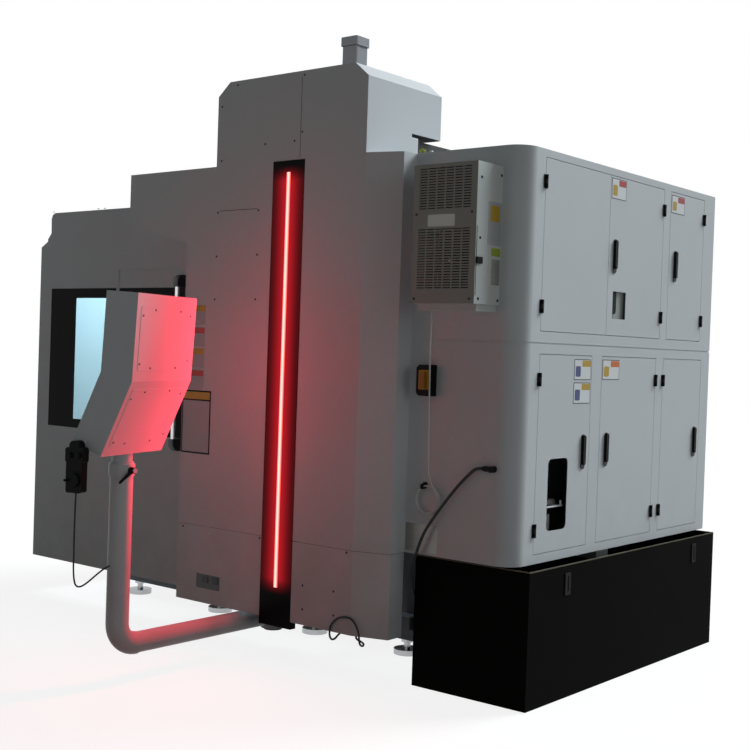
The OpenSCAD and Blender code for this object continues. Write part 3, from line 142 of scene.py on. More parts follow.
def mixed(tree, factor, first, second):
    """A colour between two, each a linear colour or another node's colour."""
    node = tree.nodes.new("ShaderNodeMix")
    node.data_type = "RGBA"
    for socket, colour in ((node.inputs[6], first), (node.inputs[7], second)):
        if isinstance(colour, tuple):
            socket.default_value = (*colour[:3], 1)
        else:
            wire(tree, colour, socket)
    wire(tree, factor, node.inputs[0])
    return node.outputs[2]


def start(name):
    """A new material, with its tree, its shader and its Object coordinates."""
    mat = bpy.data.materials.new(name)
    mat.use_nodes = True
    tree = mat.node_tree
    return mat, tree, tree.nodes["Principled BSDF"], tree.nodes.new("ShaderNodeTexCoord").outputs["Object"]


# %% Finish recipe
BUMP_HEIGHT = 0.0006  # In metres
GLOSS_DRIFT = 0.05


def finish(name, srgb, rough=0.5, metal=0.0, drift=0.06, scale=3.0, bump=0.15, bump_scale=300.0, gloss=0.3,
           stretch=(1, 1, 1)):
    """A finish whose colour and gloss drift slowly, with a fine bump."""
    mat, tree, shader, place = start(name)
    colour = linear(srgb)
    slow = noise_in(tree, place, scale, 4, stretch)
    dark, light = (tuple(c * f for c in colour) for f in (1 - drift, 1 + drift))
    wire(tree, mixed(tree, ranged(tree, slow, 0, 1), dark, light), shader.inputs["Base Color"])
    wire(tree, ranged(tree, slow, rough - GLOSS_DRIFT, rough + GLOSS_DRIFT), shader.inputs["Roughness"])
    shader.inputs["Metallic"].default_value = metal
    shader.inputs["Specular IOR Level"].default_value = gloss
    relief = tree.nodes.new("ShaderNodeBump")
    relief.inputs["Strength"].default_value = bump
    relief.inputs["Distance"].default_value = BUMP_HEIGHT
    wire(tree, noise_in(tree, place, bump_scale, 2, stretch), relief.inputs["Height"])
    wire(tree, relief.outputs[0], shader.inputs["Normal"])
    return mat


# %% Plain finishes
black_paint = finish("black_tank_paint", (8, 8, 7), rough=0.7, drift=0.25, gloss=0.015)
black_plastic = finish("black_plastic", (9, 10, 11), rough=0.5, drift=0.15, bump=0.2, bump_scale=700,
                       gloss=0.07)
iron = finish("painted_casting", (120, 124, 128), rough=0.6, drift=0.1, bump=0.6, bump_scale=120)
ground_iron = finish("ground_iron", (150, 150, 150), rough=0.34, metal=0.85, bump=0.1, stretch=(1, 12, 1))
steel = finish("bright_steel", (178, 180, 182), rough=0.28, metal=1, scale=9, bump=0.05, stretch=(1, 1, 14))
zinc = finish("zinc_plate", (184, 186, 188), rough=0.4, metal=0.9, drift=0.14, scale=16, bump=0.05)
aluminium = finish("anodised_tube", (108, 112, 116), rough=0.42, metal=0.5, bump=0.06, stretch=(1, 1, 0.1))
white_plastic = finish("white_plastic", (216, 217, 214), rough=0.45, drift=0.03)
rubber = finish("cable_sheath", (17, 17, 18), rough=0.62, drift=0.2, bump=0.2, gloss=0.2)
grey_plastic = finish("grey_plastic", (62, 64, 67), rough=0.5, bump=0.3, bump_scale=900)
amber_plastic = finish("amber_plastic", (150, 98, 22), rough=0.4, drift=0.06, bump=0.1)
red_plastic = finish("red_plastic", (188, 24, 22), rough=0.32, drift=0.04, bump=0.05)
screen_glass = finish("screen_glass", (9, 10, 12), rough=0.1, drift=0.2, bump=0.0, gloss=0.5)
screw_steel = finish("black_screw", (44, 44, 46), rough=0.35, metal=0.7, drift=0.2, scale=60, bump=0.05)
painted_screw = finish("painted_screw", (112, 110, 110), rough=0.5, drift=0.1, scale=60, bump=0.05)
bare_plate = finish("bare_plate", (132, 132, 128), rough=0.42, metal=0.4, drift=0.05, bump=0.1,
                    stretch=(1, 1, 20))
print("made", len(bpy.data.materials), "finishes")

# %% [markdown]
# ## Powder paint
# Nearly all sheet metal here has one light grey powder paint. Close up it has orange peel. The recipe above
# gives the peel and the drift. Towards the floor the paint turns darker and warmer: a second colour, mixed
# in by height with noise on its edge, which keeps it natural on all sides.


# %% Powder paint
def number(tree, operation, first, second):
    """A Math node on two sockets or numbers."""
    node = tree.nodes.new("ShaderNodeMath")
    node.operation = operation
    for socket, value in zip(node.inputs, (first, second)):
        if isinstance(value, (int, float)):
            socket.default_value = value
        else:
            wire(tree, value, socket)
    return node.outputs[0]


def object_axes(tree):
    """The X, Y and Z of a material's Object coordinates."""
    split = tree.nodes.new("ShaderNodeSeparateXYZ")
    wire(tree, next(n for n in tree.nodes if n.type == "TEX_COORD").outputs["Object"], split.inputs[0])
    return split.outputs


DARKENING_REACH = (0.15, 1.1)  # Full darkening and plain paint, in metres over the floor
DARKENING_TONE = (0.66, 0.63, 0.58)
PAINT_GREY = (204, 209, 213)


def powder_paint(name, srgb, rough=0.45):
    """The recipe for painted sheet, darker and warmer towards the floor."""
    mat = finish(name, srgb, rough=rough, drift=0.025, scale=1.6, bump=0.12, bump_scale=420, gloss=0.25)
    tree = mat.node_tree
    shader = tree.nodes["Principled BSDF"]
    place = next(n for n in tree.nodes if n.type == "TEX_COORD").outputs["Object"]
    height = ranged(tree, object_axes(tree)["Z"], 1, 0, *DARKENING_REACH)
    cloud = number(tree, "MULTIPLY", height, ranged(tree, noise_in(tree, place, 5.0, 6), 0.1, 0.55))
    plain_colour = shader.inputs["Base Color"].links[0].from_socket
    darker_tint = tuple(c * f for c, f in zip(linear(srgb), DARKENING_TONE))
    wire(tree, mixed(tree, cloud, plain_colour, darker_tint), shader.inputs["Base Color"])
    return mat


paint = powder_paint("grey_powder_paint", PAINT_GREY)
cooler_paint = powder_paint("cooler_paint", (142, 144, 138), rough=0.5)
print("paints:", paint.name, "and", cooler_paint.name)

# %% [markdown]
# ## Glass with a printed border
# The safety windows have a wide black border printed on the pane. A border could be a mesh of its own, but
# a comparison of Object coordinates draws it with exact edges on the pane that is already there. The clear
# part is a transparent shader with a little gloss, because true refraction would only darken the room
# behind.


# %% Window glass
def between(tree, value, low, high):
    """1 where a value lies between two limits, and 0 elsewhere."""
    over = number(tree, "GREATER_THAN", value, low)
    return number(tree, "MULTIPLY", over, number(tree, "LESS_THAN", value, high))


def window_glass(name, x_range, z_range):
    """A pane that is clear in a range of X and of Z, in metres, with a black border round it."""
    mat, tree, border, place = start(name)
    border.inputs["Roughness"].default_value = 0.3
    border.inputs["Specular IOR Level"].default_value = 0.03
    speckle = noise_in(tree, place, 900, 2)
    black = mixed(tree, speckle, (0.003, 0.003, 0.004), (0.006, 0.006, 0.007))
    wire(tree, black, border.inputs["Base Color"])
    axes = object_axes(tree)
    clear = number(tree, "MULTIPLY", between(tree, axes["X"], *x_range), between(tree, axes["Z"], *z_range))
    through = tree.nodes.new("ShaderNodeBsdfTransparent")
    through.inputs["Color"].default_value = (0.84, 0.95, 0.97, 1)
    sheen = tree.nodes.new("ShaderNodeBsdfGlossy")
    sheen.inputs["Roughness"].default_value = 0.03
    pane = tree.nodes.new("ShaderNodeMixShader")
    pane.inputs["Fac"].default_value = 0.04
    whole = tree.nodes.new("ShaderNodeMixShader")
    for source, target in ((through.outputs[0], pane.inputs[1]), (sheen.outputs[0], pane.inputs[2]),
                           (clear, whole.inputs["Fac"]), (border.outputs[0], whole.inputs[1]),
                           (pane.outputs[0], whole.inputs[2]),
                           (whole.outputs[0], tree.nodes["Material Output"].inputs["Surface"])):
        wire(tree, source, target)
    return mat


fixed_low, fixed_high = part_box("fixed_window")
leaf_low, leaf_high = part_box("door_window")
pane_z = (fixed_low.z + 0.055, fixed_high.z - 0.06)
fixed_glass = window_glass("fixed_glass", (fixed_low.x + 0.25, fixed_high.x - 0.02), pane_z)
door_glass = window_glass("door_glass", (leaf_low.x + 0.02, leaf_high.x - 0.13), pane_z)
print("clear glass from z", round(pane_z[0], 3), "to", round(pane_z[1], 3), "m")

# %% [markdown]
# ## Light strip
# The lamps behind the lens are brighter than the camera can take, so the lens looks pale along its middle
# and red at its edges. A gradient across the lens gives that with one mesh. The red light that the strip
# casts on the dark panel beside it is painted on the panel as a glow that fades outwards. Lens and painted
# glow are both emission in Object coordinates. The light that the strip throws on to the rest of its
# surroundings comes from real lamps, which are set up with the others at the end.


# %% Light strip
def fading(tree, value, centre, reach):
    """1 at the centre, falling smoothly to 0 at the reach, in metres."""
    node = tree.nodes.new("ShaderNodeMapRange")
    node.interpolation_type = "SMOOTHSTEP"
    for name, amount in (("From Min", 0), ("From Max", reach), ("To Min", 1), ("To Max", 0)):
        node.inputs[name].default_value = amount
    wire(tree, number(tree, "ABSOLUTE", number(tree, "SUBTRACT", value, centre), 0.0), node.inputs["Value"])
    return node.outputs[0]


lens_low, lens_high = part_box("light_strip")
lens_mid = (lens_low + lens_high) / 2
lens_half = (lens_high - lens_low) / 2
lens, tree, shader, place = start("lit_lens")
core = number(tree, "POWER", fading(tree, object_axes(tree)["X"], lens_mid.x, lens_half.x), 0.7)
wire(tree, mixed(tree, core, (1, 0.004, 0.008), (1, 0.76, 0.64)), shader.inputs["Emission Color"])
shader.inputs["Base Color"].default_value = (0.3, 0.01, 0.012, 1)
shader.inputs["Emission Strength"].default_value = 1.15

panel_painted_glow = finish("light_panel_painted_glow", (6, 4, 8), rough=0.32, drift=0.2, gloss=0.03)
tree = panel_painted_glow.node_tree
axes = object_axes(tree)
# Painted light: the panel's red emission is the strip's glow, strongest beside the lens and faint along it.
GLOW_REACH, GLOW_FALL, GLOW_REST = 0.15, 2.4, 0.09
GLOW_PAST, GLOW_EDGE = 0.04, 60.0
near = number(tree, "POWER", fading(tree, axes["X"], lens_mid.x, GLOW_REACH), GLOW_FALL)
near = number(tree, "ADD", near, GLOW_REST)
ends = fading(tree, axes["Z"], lens_mid.z, lens_half.z + GLOW_PAST)
crisp = number(tree, "MINIMUM", number(tree, "MULTIPLY", ends, GLOW_EDGE), 1.0)
glow = number(tree, "MULTIPLY", near, crisp)
shader = tree.nodes["Principled BSDF"]
shader.inputs["Emission Color"].default_value = (0.46, 0.008, 0.015, 1)
wire(tree, glow, shader.inputs["Emission Strength"])
print("lens is", round(lens_half.x * 2000), "mm wide and", round(lens_half.z * 2000), "mm long")

# %% [markdown]
# ## Two colours on one piece
# A door's hinge leaves and handle dishes are black and stand proud of its painted face. The tank's lugs are
# paler than its walls, and a pale band along its top rim is a painted highlight. The cooling unit's body is
# painted paler than its front, which stands in for the light that falls on its right side. These pieces are
# folded or welded to their carriers, so a limit on one Object coordinate separates the colours, and no mesh
# has to be cut.


# %% Doors, tank and cooling unit
def marked(mat, srgb, axis, limit):
    """Gives a finish another colour where an Object coordinate is over a limit in metres."""
    tree = mat.node_tree
    shader = tree.nodes["Principled BSDF"]
    over = number(tree, "GREATER_THAN", object_axes(tree)[axis], limit)
    under = shader.inputs["Base Color"].links[0].from_socket
    wire(tree, mixed(tree, over, under, linear(srgb)), shader.inputs["Base Color"])
    return mat


door_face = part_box("upper_cabinet")[1].x
tank_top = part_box("coolant_tank")[1]
LUG_T, PAINTED_HIGHLIGHT_H = 0.005, 0.005
GRILLE_T = 0.0015
door_paint = marked(powder_paint("door_paint", PAINT_GREY), (13, 14, 15), "X", door_face + 0.0005)
marked(black_paint, (58, 58, 56), "X", tank_top.x - LUG_T + 0.0005)
# A pale band along the tank's top rim: a painted highlight.
marked(black_paint, (112, 108, 96), "Z", tank_top.z - PAINTED_HIGHLIGHT_H)
# Painted light: the cooling unit's body is paler than its front, for the light that falls on its right side.
marked(cooler_paint, (196, 202, 200), "Y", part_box("cooler_housing")[0].y + GRILLE_T)
print("door faces at x", round(door_face, 4), "m, tank rim at z", round(tank_top.z, 4), "m")

# %% [markdown]
# ## Handle, lamp and hose
# The door's bar handle is chrome between two black elbows. One shader with a limit on height separates the
# two. The lens of the work lamp glows, and the drain hose is clear soft plastic, shown with some
# transparency.

# %% Handle, lamp and hose
grip_low, grip_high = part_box("door_handle")
handle_metal, tree, shader, place = start("handle_chrome_and_black")
ELBOW_H = 70
bar_z = (grip_low.z + ELBOW_H * 0.001, grip_high.z - ELBOW_H * 0.001)
bar = between(tree, object_axes(tree)["Z"], *bar_z)
brushed = mixed(tree, noise_in(tree, place, 60, 3, (1, 1, 0.02)), (0.62, 0.63, 0.64), (0.75, 0.76, 0.77))
wire(tree, mixed(tree, bar, (0.008, 0.008, 0.009), brushed), shader.inputs["Base Color"])
wire(tree, bar, shader.inputs["Metallic"])
wire(tree, ranged(tree, bar, 0.5, 0.3, 0, 1), shader.inputs["Roughness"])

lamp_lens, tree, shader, place = start("lamp_lens")
ribs = noise_in(tree, place, 40, 1, (1, 0.1, 1))
wire(tree, mixed(tree, ribs, (0.62, 0.88, 0.95), (0.85, 1, 1)), shader.inputs["Emission Color"])
shader.inputs["Emission Strength"].default_value = 3

clear_hose = finish("clear_hose", (214, 219, 215), rough=0.2, gloss=0.5)
clear_hose.node_tree.nodes["Principled BSDF"].inputs["Alpha"].default_value = 0.8
print("handle bar is bright from", round(bar_z[0], 3), "to", round(bar_z[1], 3), "m")

# %% [markdown]
# ## Finishes on the nodes
# A table from finish to nodes keeps all choices in one place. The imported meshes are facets, so every face
# is marked smooth and edges over thirty degrees are marked sharp: tubes then look round and folds stay
# crisp, and no vertex moves.

# %% Dress the nodes
looks = {
    paint: ["column", "spindle_head", "left_fascia", "right_fascia", "skirts", "tower_cover", "roof",
            "room_cover", "front_panel", "front_door", "lower_cabinet", "upper_cabinet", "console_arm",
            "console_housing"],
    door_paint: ["upper_left_door", "upper_right_door", "upper_rear_door", "lower_left_door",
                 "lower_middle_door", "lower_rear_door"],
    cooler_paint: ["cooler_housing"],
    black_paint: ["coolant_tank"],
    panel_painted_glow: ["light_panel"],
    lens: ["light_strip"],
    iron: ["bed", "base_frame", "saddle", "magazine_carriage"],
    ground_iron: ["table"],
    steel: ["levelling_feet", "axis_rails", "spindle", "tool_disc"],
    zinc: ["drive_plate"],
    handle_metal: ["door_handle"],
    aluminium: ["magazine_cylinder"],
    white_plastic: ["lubrication_unit"],
    fixed_glass: ["fixed_window"],
    door_glass: ["door_window"],
    black_plastic: ["cabinet_hinges", "upper_right_handle", "upper_rear_handle", "lower_left_handle",
                    "lower_middle_handle", "lower_rear_handle", "cooler_fan", "main_switch", "clamp_lever",
                    "override_knob", "hand_unit", "hand_wheel"],
    clear_hose: ["drain_hose", "hose_coil"],
    rubber: ["power_cable", "hand_unit_cord", "loop_cable"],
    amber_plastic: ["switch_handle"],
    grey_plastic: ["operator_panel"],
    screen_glass: ["screen"],
    red_plastic: ["stop_button"],
}
for mat, names in looks.items():
    for name in names:
        nodes[name].data.materials.clear()
        nodes[name].data.materials.append(mat)
for obj in nodes.values():
    obj.data.polygons.foreach_set("use_smooth", [True] * len(obj.data.polygons))
    obj.data.set_sharp_from_angle(angle=math.radians(30))
print("nodes with no finish:", sorted(set(nodes) - {n for names in looks.values() for n in names}) or "none")

# %% [markdown]
# ## Cords
# A cable leaves a gland on the cabinet's front, hangs past the tank's corner and ends in a gland on the
# base frame. A clear hose hangs from the cooling unit into a tied coil, the hand unit's cord runs into the
# post, and a thin cable loops out under the skirt. Each is a curve with a round bevel along the points of
# its CAD tube, made smooth by a Catmull-Rom line, and stands in for that tube. A loop works out the coil's
# turns.


# %% Cord recipe
def smooth_line(points, steps=4):
    """A Catmull-Rom line through the points, so that the cord has no corners."""
    pts = [Vector(p) for p in points]
    pts = [pts[0] * 2 - pts[1], *pts, pts[-1] * 2 - pts[-2]]
    line = []
    for a, b, c, d in zip(pts, pts[1:], pts[2:], pts[3:]):
        for i in range(steps):
            t = i / steps
            line.append(0.5 * (2 * b + (c - a) * t + (2 * a - 5 * b + 4 * c - d) * t * t
                               + (3 * b - a - 3 * c + d) * t ** 3))
    return line + [pts[-2]]


def cord(name, points, radius, mat, replaced, body="machine"):
    """A cord along points in millimetres, which rides on a body and stands in for its CAD tube."""
    line = smooth_line(points)
    curve = bpy.data.curves.new(name, "CURVE")
    curve.dimensions = "3D"
    curve.bevel_depth = radius * 0.001
    curve.bevel_resolution = 3
    curve.use_fill_caps = True
    spline = curve.splines.new("POLY")
    spline.points.add(len(line) - 1)
    for point, place in zip(spline.points, line):
        point.co = (*mm(*place), 1)
    obj = bpy.data.objects.new(name, curve)
    scene.collection.objects.link(obj)
    curve.materials.append(mat)
    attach(obj, body)
    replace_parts(obj, *replaced)
    return obj


# %% Power cable
POWER_ROUTE = [
    (1618, -395, 1086), (1608, -395, 1086), (1594, -395, 1084), (1577, -396, 1077), (1560, -397, 1064),
    (1530, -398, 1036), (1486, -400, 990), (1442, -402, 938), (1403, -404, 889), (1368, -406, 842),
    (1338, -408, 799), (1312, -410, 757), (1293, -411, 715), (1278, -410, 678), (1265, -407, 646),
    (1253, -401, 612), (1240, -391, 578), (1226, -378, 543), (1212, -360, 508), (1201, -338, 474),
    (1194, -315, 440), (1191, -296, 408), (1191, -285, 378), (1191, -278, 350), (1191, -275, 324),
    (1191, -274, 294), (1191, -274, 282)]
cord("power_cord", POWER_ROUTE, 7, rubber, ["power_cable"])

# %% Drain hose and its coil
COIL_X, COIL_Y, COIL_Z, COIL_R, COIL_DEPTH = 1312, -403, 913, 65, 23
COIL_START, COIL_STEP, COIL_POINTS = 8, 30, 27
coil = []
for i in range(1, COIL_POINTS + 1):
    angle = math.radians(COIL_START - COIL_STEP * i)
    coil.append((COIL_X + COIL_R * math.cos(angle), COIL_Y + COIL_DEPTH * i / COIL_POINTS,
                 COIL_Z + COIL_R * math.sin(angle)))
HOSE_ROUTE = [
    (1365, -480, 1780), (1365, -480, 1768), (1364, -480, 1735), (1362, -479, 1690), (1361, -478, 1640),
    (1360, -476, 1580), (1358, -471, 1500), (1355, -465, 1420), (1352, -459, 1350), (1346, -449, 1270),
    (1339, -437, 1195), (1332, -426, 1130), (1327, -417, 1080), (1326, -411, 1045), (1331, -407, 1016),
    (1344, -405, 989), (1360, -404, 962), (1372, -403, 938), (1376, -403, 922)]
cord("drain_line", HOSE_ROUTE + coil, 4, clear_hose, ["drain_hose", "hose_coil"])

# %% Loop and cord of the hand unit
CONSOLE_TURN = math.radians(197.2)
POST = (226, -1336)


def beside_post(x, y, z):
    """A point in the console's own frame, which turns with its post."""
    c, s = math.cos(CONSOLE_TURN), math.sin(CONSOLE_TURN)
    return (POST[0] + x * c - y * s, POST[1] + x * s + y * c, z)


LOOP_ROUTE = [
    (800, -377, 238), (800, -377, 228), (800, -382, 208), (803, -397, 193), (808, -417, 188),
    (825, -447, 188), (843, -478, 188), (853, -505, 188), (858, -525, 193), (860, -540, 208),
    (861, -545, 228), (864, -545, 256), (881, -545, 283), (901, -545, 300), (925, -545, 312),
    (953, -545, 318), (982, -545, 319), (1003, -545, 311), (1020, -545, 297), (1034, -545, 277),
    (1044, -545, 253), (1048, -545, 230), (1048, -540, 208), (1046, -526, 194), (1040, -505, 188),
    (1020, -475, 188), (985, -448, 188), (945, -428, 188), (920, -412, 191), (908, -395, 198),
    (903, -382, 212), (903, -377, 226), (903, -377, 238)]
cord("loop_line", LOOP_ROUTE, 5, rubber, ["loop_cable"])
HAND_ROUTE = [
    (29, 315, 930), (29, 315, 910), (30, 315, 880), (31, 315, 820), (32, 314, 760), (34, 311, 700),
    (37, 306, 640), (42, 298, 585), (48, 284, 540), (54, 265, 510), (58, 240, 494), (58, 210, 491),
    (54, 178, 500), (47, 147, 516), (38, 118, 534), (28, 92, 550), (18, 71, 561), (11, 60, 566)]
cord("hand_cord", [beside_post(*p) for p in HAND_ROUTE], 4, rubber, ["hand_unit_cord"], "console")

# %% [markdown]
# ## Plates and screws
# Plain fields, covers and screws are small pieces that lie on a face. A plate starts as a cube. A bevel in
# edit mode rounds its corners, and a Bevel modifier eases its rim. A screw starts as a cylinder, and three
# insets of its top face give the cap's shoulder and its socket. The screw is modelled once, and each copy
# has its own mesh.


# %% Helpers for selecting
def only(obj):
    """Selects one object and makes it the active one."""
    bpy.ops.object.select_all(action="DESELECT")
    obj.select_set(True)
    bpy.context.view_layer.objects.active = obj


def pick(obj, faces=None, edges=None):
    """Enters edit mode with those faces or edges selected that pass a test."""
    bpy.ops.object.mode_set(mode="EDIT")
    bpy.ops.mesh.select_mode(type="FACE" if faces else "EDGE")
    bpy.ops.mesh.select_all(action="DESELECT")
    bpy.ops.object.mode_set(mode="OBJECT")
    corners = [v.co for v in obj.data.vertices]
    if faces:
        for face in obj.data.polygons:
            face.select = faces(face)
    else:
        for edge in obj.data.edges:
            edge.select = edges(*(corners[i] for i in edge.vertices))
    bpy.ops.object.mode_set(mode="EDIT")


# %% Plates
def eased(obj, width):
    """Eases all sharp edges by a width in millimetres."""
    only(obj)
    ease = obj.modifiers.new("rim", "BEVEL")
    ease.width = width * 0.001
    ease.segments = 2
    ease.limit_method = "ANGLE"
    ease.angle_limit = math.radians(60)
    bpy.ops.object.modifier_apply(modifier=ease.name)


def plate(low, high, mat, corner=0.0, rim=0.0):
    """A plate between two points in millimetres: corner rounds its four corners, rim eases all its edges."""
    low, high = mm(*low), mm(*high)
    size = high - low
    thin = min(range(3), key=lambda i: size[i])
    bpy.ops.object.select_all(action="DESELECT")
    bpy.ops.mesh.primitive_cube_add(size=1, location=(low + high) / 2)
    obj = bpy.context.object
    obj.scale = size
    bpy.ops.object.transform_apply(location=True, rotation=True, scale=True)
    if corner:
        pick(obj, edges=lambda a, b: abs(a[thin] - b[thin]) > size[thin] / 2)
        bpy.ops.mesh.bevel(offset=corner * 0.001, segments=3, affect="EDGES")
        bpy.ops.object.mode_set(mode="OBJECT")
    if rim:
        eased(obj, rim)
    obj.data.materials.append(mat)
    return obj


def done(name, body, parts):
    """Joins parts into one object with its place in its mesh, which rides on a body."""
    only(parts[0])
    for part in parts:
        part.select_set(True)
    if len(parts) > 1:
        bpy.ops.object.join()
    bpy.ops.object.transform_apply(location=True, rotation=True, scale=True)
    obj = bpy.context.object
    obj.name = obj.data.name = name
    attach(obj, body)
    print(name, "has", len(obj.data.polygons), "faces and rides on", body)
    return obj


# %% Screw
bpy.ops.object.select_all(action="DESELECT")
bpy.ops.mesh.primitive_cylinder_add(vertices=18, radius=0.0065, depth=0.002, location=(0, 0, 0.001))
screw = bpy.context.object
bpy.ops.object.transform_apply(location=True, rotation=True, scale=True)
pick(screw, faces=lambda face: face.normal.z > 0.9)
bpy.ops.mesh.inset(thickness=0.0014, depth=0.0008)
bpy.ops.mesh.inset(thickness=0.0016, depth=0.0)
bpy.ops.mesh.inset(thickness=0.0002, depth=-0.0016)
bpy.ops.object.mode_set(mode="OBJECT")
screw.data.materials.append(screw_steel)
print("the screw has", len(screw.data.polygons), "faces")


def screws(name, body, spots, size=1.0, mat=screw_steel):
    """Copies of the screw at points in millimetres, each with the direction that it points in."""
    copies = []
    for point, out in spots:
        only(screw)
        bpy.ops.object.duplicate(linked=False)
        copy = bpy.context.object
        turn = Vector(out).to_track_quat("Z", "Y").to_matrix().to_4x4()
        copy.matrix_world = Matrix.Translation(mm(*point)) @ turn @ Matrix.Scale(size, 4)
        copy.data.materials[0] = mat
        copies.append(copy)
    return done(name, body, copies)


# %% [markdown]
# ## Fascia and tower
# The fascia's sheets are held by dark screws along their edges, and two hairline seams show where a cover
# plate and the tower's two front sheets meet. The places of the screws were read off the photograph on the
# fascia's own plane.

# %% Screws and seams of the fascia
FRONT = (0, -1, 0)
RIGHT = (1, 0, 0)
fascia_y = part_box("left_fascia")[0].y * 1000
seam_black = finish("seam_shadow", (40, 41, 43), rough=0.6, drift=0.15)
screws("fascia_screws", "machine", [((x, fascia_y, z), FRONT) for x, z in (
    (-4, 2581), (312, 2645), (516, 2645), (-20, 2309), (278, 2309), (-21, 2078), (278, 2081), (-25, 1850),
    (276, 1851), (-214, 625), (362, 629), (946, 629), (570, 2969), (100, 2969), (-12, 2867), (567, 2686),
    (668, 430), (871, 430), (671, 311), (876, 313))], 0.85)
done("fascia_seams", "machine", [
    plate((554, fascia_y - 0.4, 2560), (557, fascia_y + 0.4, 2960), seam_black, rim=0.1),
    plate((-8, fascia_y - 0.4, 2316), (272, fascia_y + 0.4, 2319), seam_black, rim=0.1)])

# %% [markdown]
# ## Bare fields on the fascia
# On the left of the light strip the machine carries a column of small fields and a larger framed one. Here
# they are plain colour fields, each a coloured head over a pale field, on thin plates with rounded corners.
# A small socket plate sits low on the skirt.

# %% Fields on the fascia
pale_field = finish("pale_field", (168, 172, 176), rough=0.4, drift=0.03)
ochre_field = finish("ochre_field", (186, 150, 30), rough=0.4, drift=0.05)
rust_field = finish("rust_field", (172, 48, 46), rough=0.4, drift=0.05)
orange_field = finish("orange_field", (206, 104, 34), rough=0.4, drift=0.05)
blue_field = finish("blue_field", (52, 66, 118), rough=0.4, drift=0.05)
green_field = finish("green_field", (150, 166, 44), rough=0.4, drift=0.05)


def front_field(x0, x1, z0, z1, rise, mat, y, corner=2.0):
    """A field on a face that looks towards -Y, which stands a little proud of it."""
    return plate((x0, y - rise, z0), (x1, y + 0.2, z1), mat, corner)


fields = []
for top, head in ((1821, ochre_field), (1703, rust_field), (1591, ochre_field), (1474, rust_field)):
    fields.append(front_field(-231, -92, top - 106, top, 0.6, pale_field, fascia_y))
    fields.append(front_field(-228, -95, top - 34, top - 3, 1.0, head, fascia_y))
done("field_column", "machine", fields)
done("framed_field", "machine", [front_field(-252, -30, 1024, 1364, 0.6, black_plastic, fascia_y, 4),
                                 front_field(-243, -39, 1316, 1355, 1.2, ochre_field, fascia_y),
                                 front_field(-243, -39, 1033, 1308, 1.2, pale_field, fascia_y)])
done("socket_plate", "machine", [front_field(-98, 78, 312, 386, 2.0, grey_plastic, fascia_y, 5),
                                 front_field(-50, -8, 342, 374, 5.0, seam_black, fascia_y, 6),
                                 front_field(26, 68, 342, 380, 5.0, seam_black, fascia_y, 6)])

# %% [markdown]
# ## Grip of the sliding door
# The bar is held by two black elbows. Each starts as a block, and a wide bevel on the edge where it turns
# makes the bend. The bar is a cylinder whose ends are inset, and all three are joined into the piece that
# is seen.

# %% Grip of the sliding door
NEAR = 0.001
ELBOW_BEND = 0.048
BAR_R, BAR_OUT = 0.014, 0.022


def elbow(foot, top, turn):
    """An end of the grip between two heights, rounded at the height where it turns towards the door."""
    obj = plate((grip_low.x * 1000, grip_low.y * 1000, foot), (grip_high.x * 1000, grip_high.y * 1000, top),
                handle_metal)

    def turns(a, b):
        return all(abs(v.z - turn * 0.001) < NEAR and v.y < grip_low.y + NEAR for v in (a, b))

    pick(obj, edges=turns)
    bpy.ops.mesh.bevel(offset=ELBOW_BEND, segments=6, affect="EDGES")
    bpy.ops.object.mode_set(mode="OBJECT")
    eased(obj, 7)
    bpy.ops.object.shade_smooth_by_angle(angle=math.radians(30))
    return obj


foot_z, head_z = grip_low.z * 1000, grip_high.z * 1000
elbows = [elbow(foot_z, foot_z + ELBOW_H, foot_z), elbow(head_z - ELBOW_H, head_z, head_z)]
bpy.ops.object.select_all(action="DESELECT")
grip_mid = (grip_low + grip_high) / 2
bpy.ops.mesh.primitive_cylinder_add(vertices=32, radius=BAR_R, depth=grip_high.z - grip_low.z - 0.04,
                                    location=(grip_mid.x, grip_low.y + BAR_OUT, grip_mid.z))
bar_piece = bpy.context.object
bpy.ops.object.transform_apply(location=True, rotation=True, scale=True)
pick(bar_piece, faces=lambda face: abs(face.normal.z) > 0.9)
bpy.ops.mesh.inset(thickness=0.002, depth=0.002)
bpy.ops.object.mode_set(mode="OBJECT")
bar_piece.data.materials.append(handle_metal)
bpy.ops.object.shade_smooth_by_angle(angle=math.radians(30))
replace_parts(done("door_grip", "door", [bar_piece, *elbows]), "door_handle")

# %% [markdown]
# ## Cabinet doors
# The doors carry bare fields in their upper corners, each a pale plate in a thin dark frame with a coloured
# head. They ride on their own doors. Every swing handle ends in a small dark lock, which turns with its
# handle: it is a copy of the screw, whose inset cap looks much the same.

# %% Fields and locks on the doors
white_field = finish("white_field", (226, 229, 232), rough=0.4, drift=0.03)
door_x = door_face * 1000
LOCK_UP = 14
for index, (door, y0, y1, z0, z1, head, patch) in enumerate((
        ("upper_right", 432, 586, 2408, 2511, rust_field, ochre_field),
        ("upper_rear", 1105, 1265, 2408, 2506, rust_field, ochre_field),
        ("lower_left", 125, 287, 1499, 1600, ochre_field, blue_field),
        ("lower_left", 124, 286, 1384, 1487, ochre_field, blue_field),
        ("lower_middle", 404, 578, 1501, 1602, orange_field, ochre_field))):
    done(f"door_field_{index}", door, [
        plate((door_x - 0.2, y0, z0), (door_x + 0.5, y1, z1), seam_black, 3),
        plate((door_x - 0.2, y0 + 4, z0 + 4), (door_x + 0.9, y1 - 4, z1 - 4), white_field, 2),
        plate((door_x - 0.2, y0 + (y1 - y0) * 0.48, z1 - 36), (door_x + 1.3, y1 - 6, z1 - 6), head, 2),
        plate((door_x - 0.2, y0 + 14, z0 + 16), (door_x + 1.3, y0 + (y1 - y0) * 0.38, z1 - 34), patch, 8)])
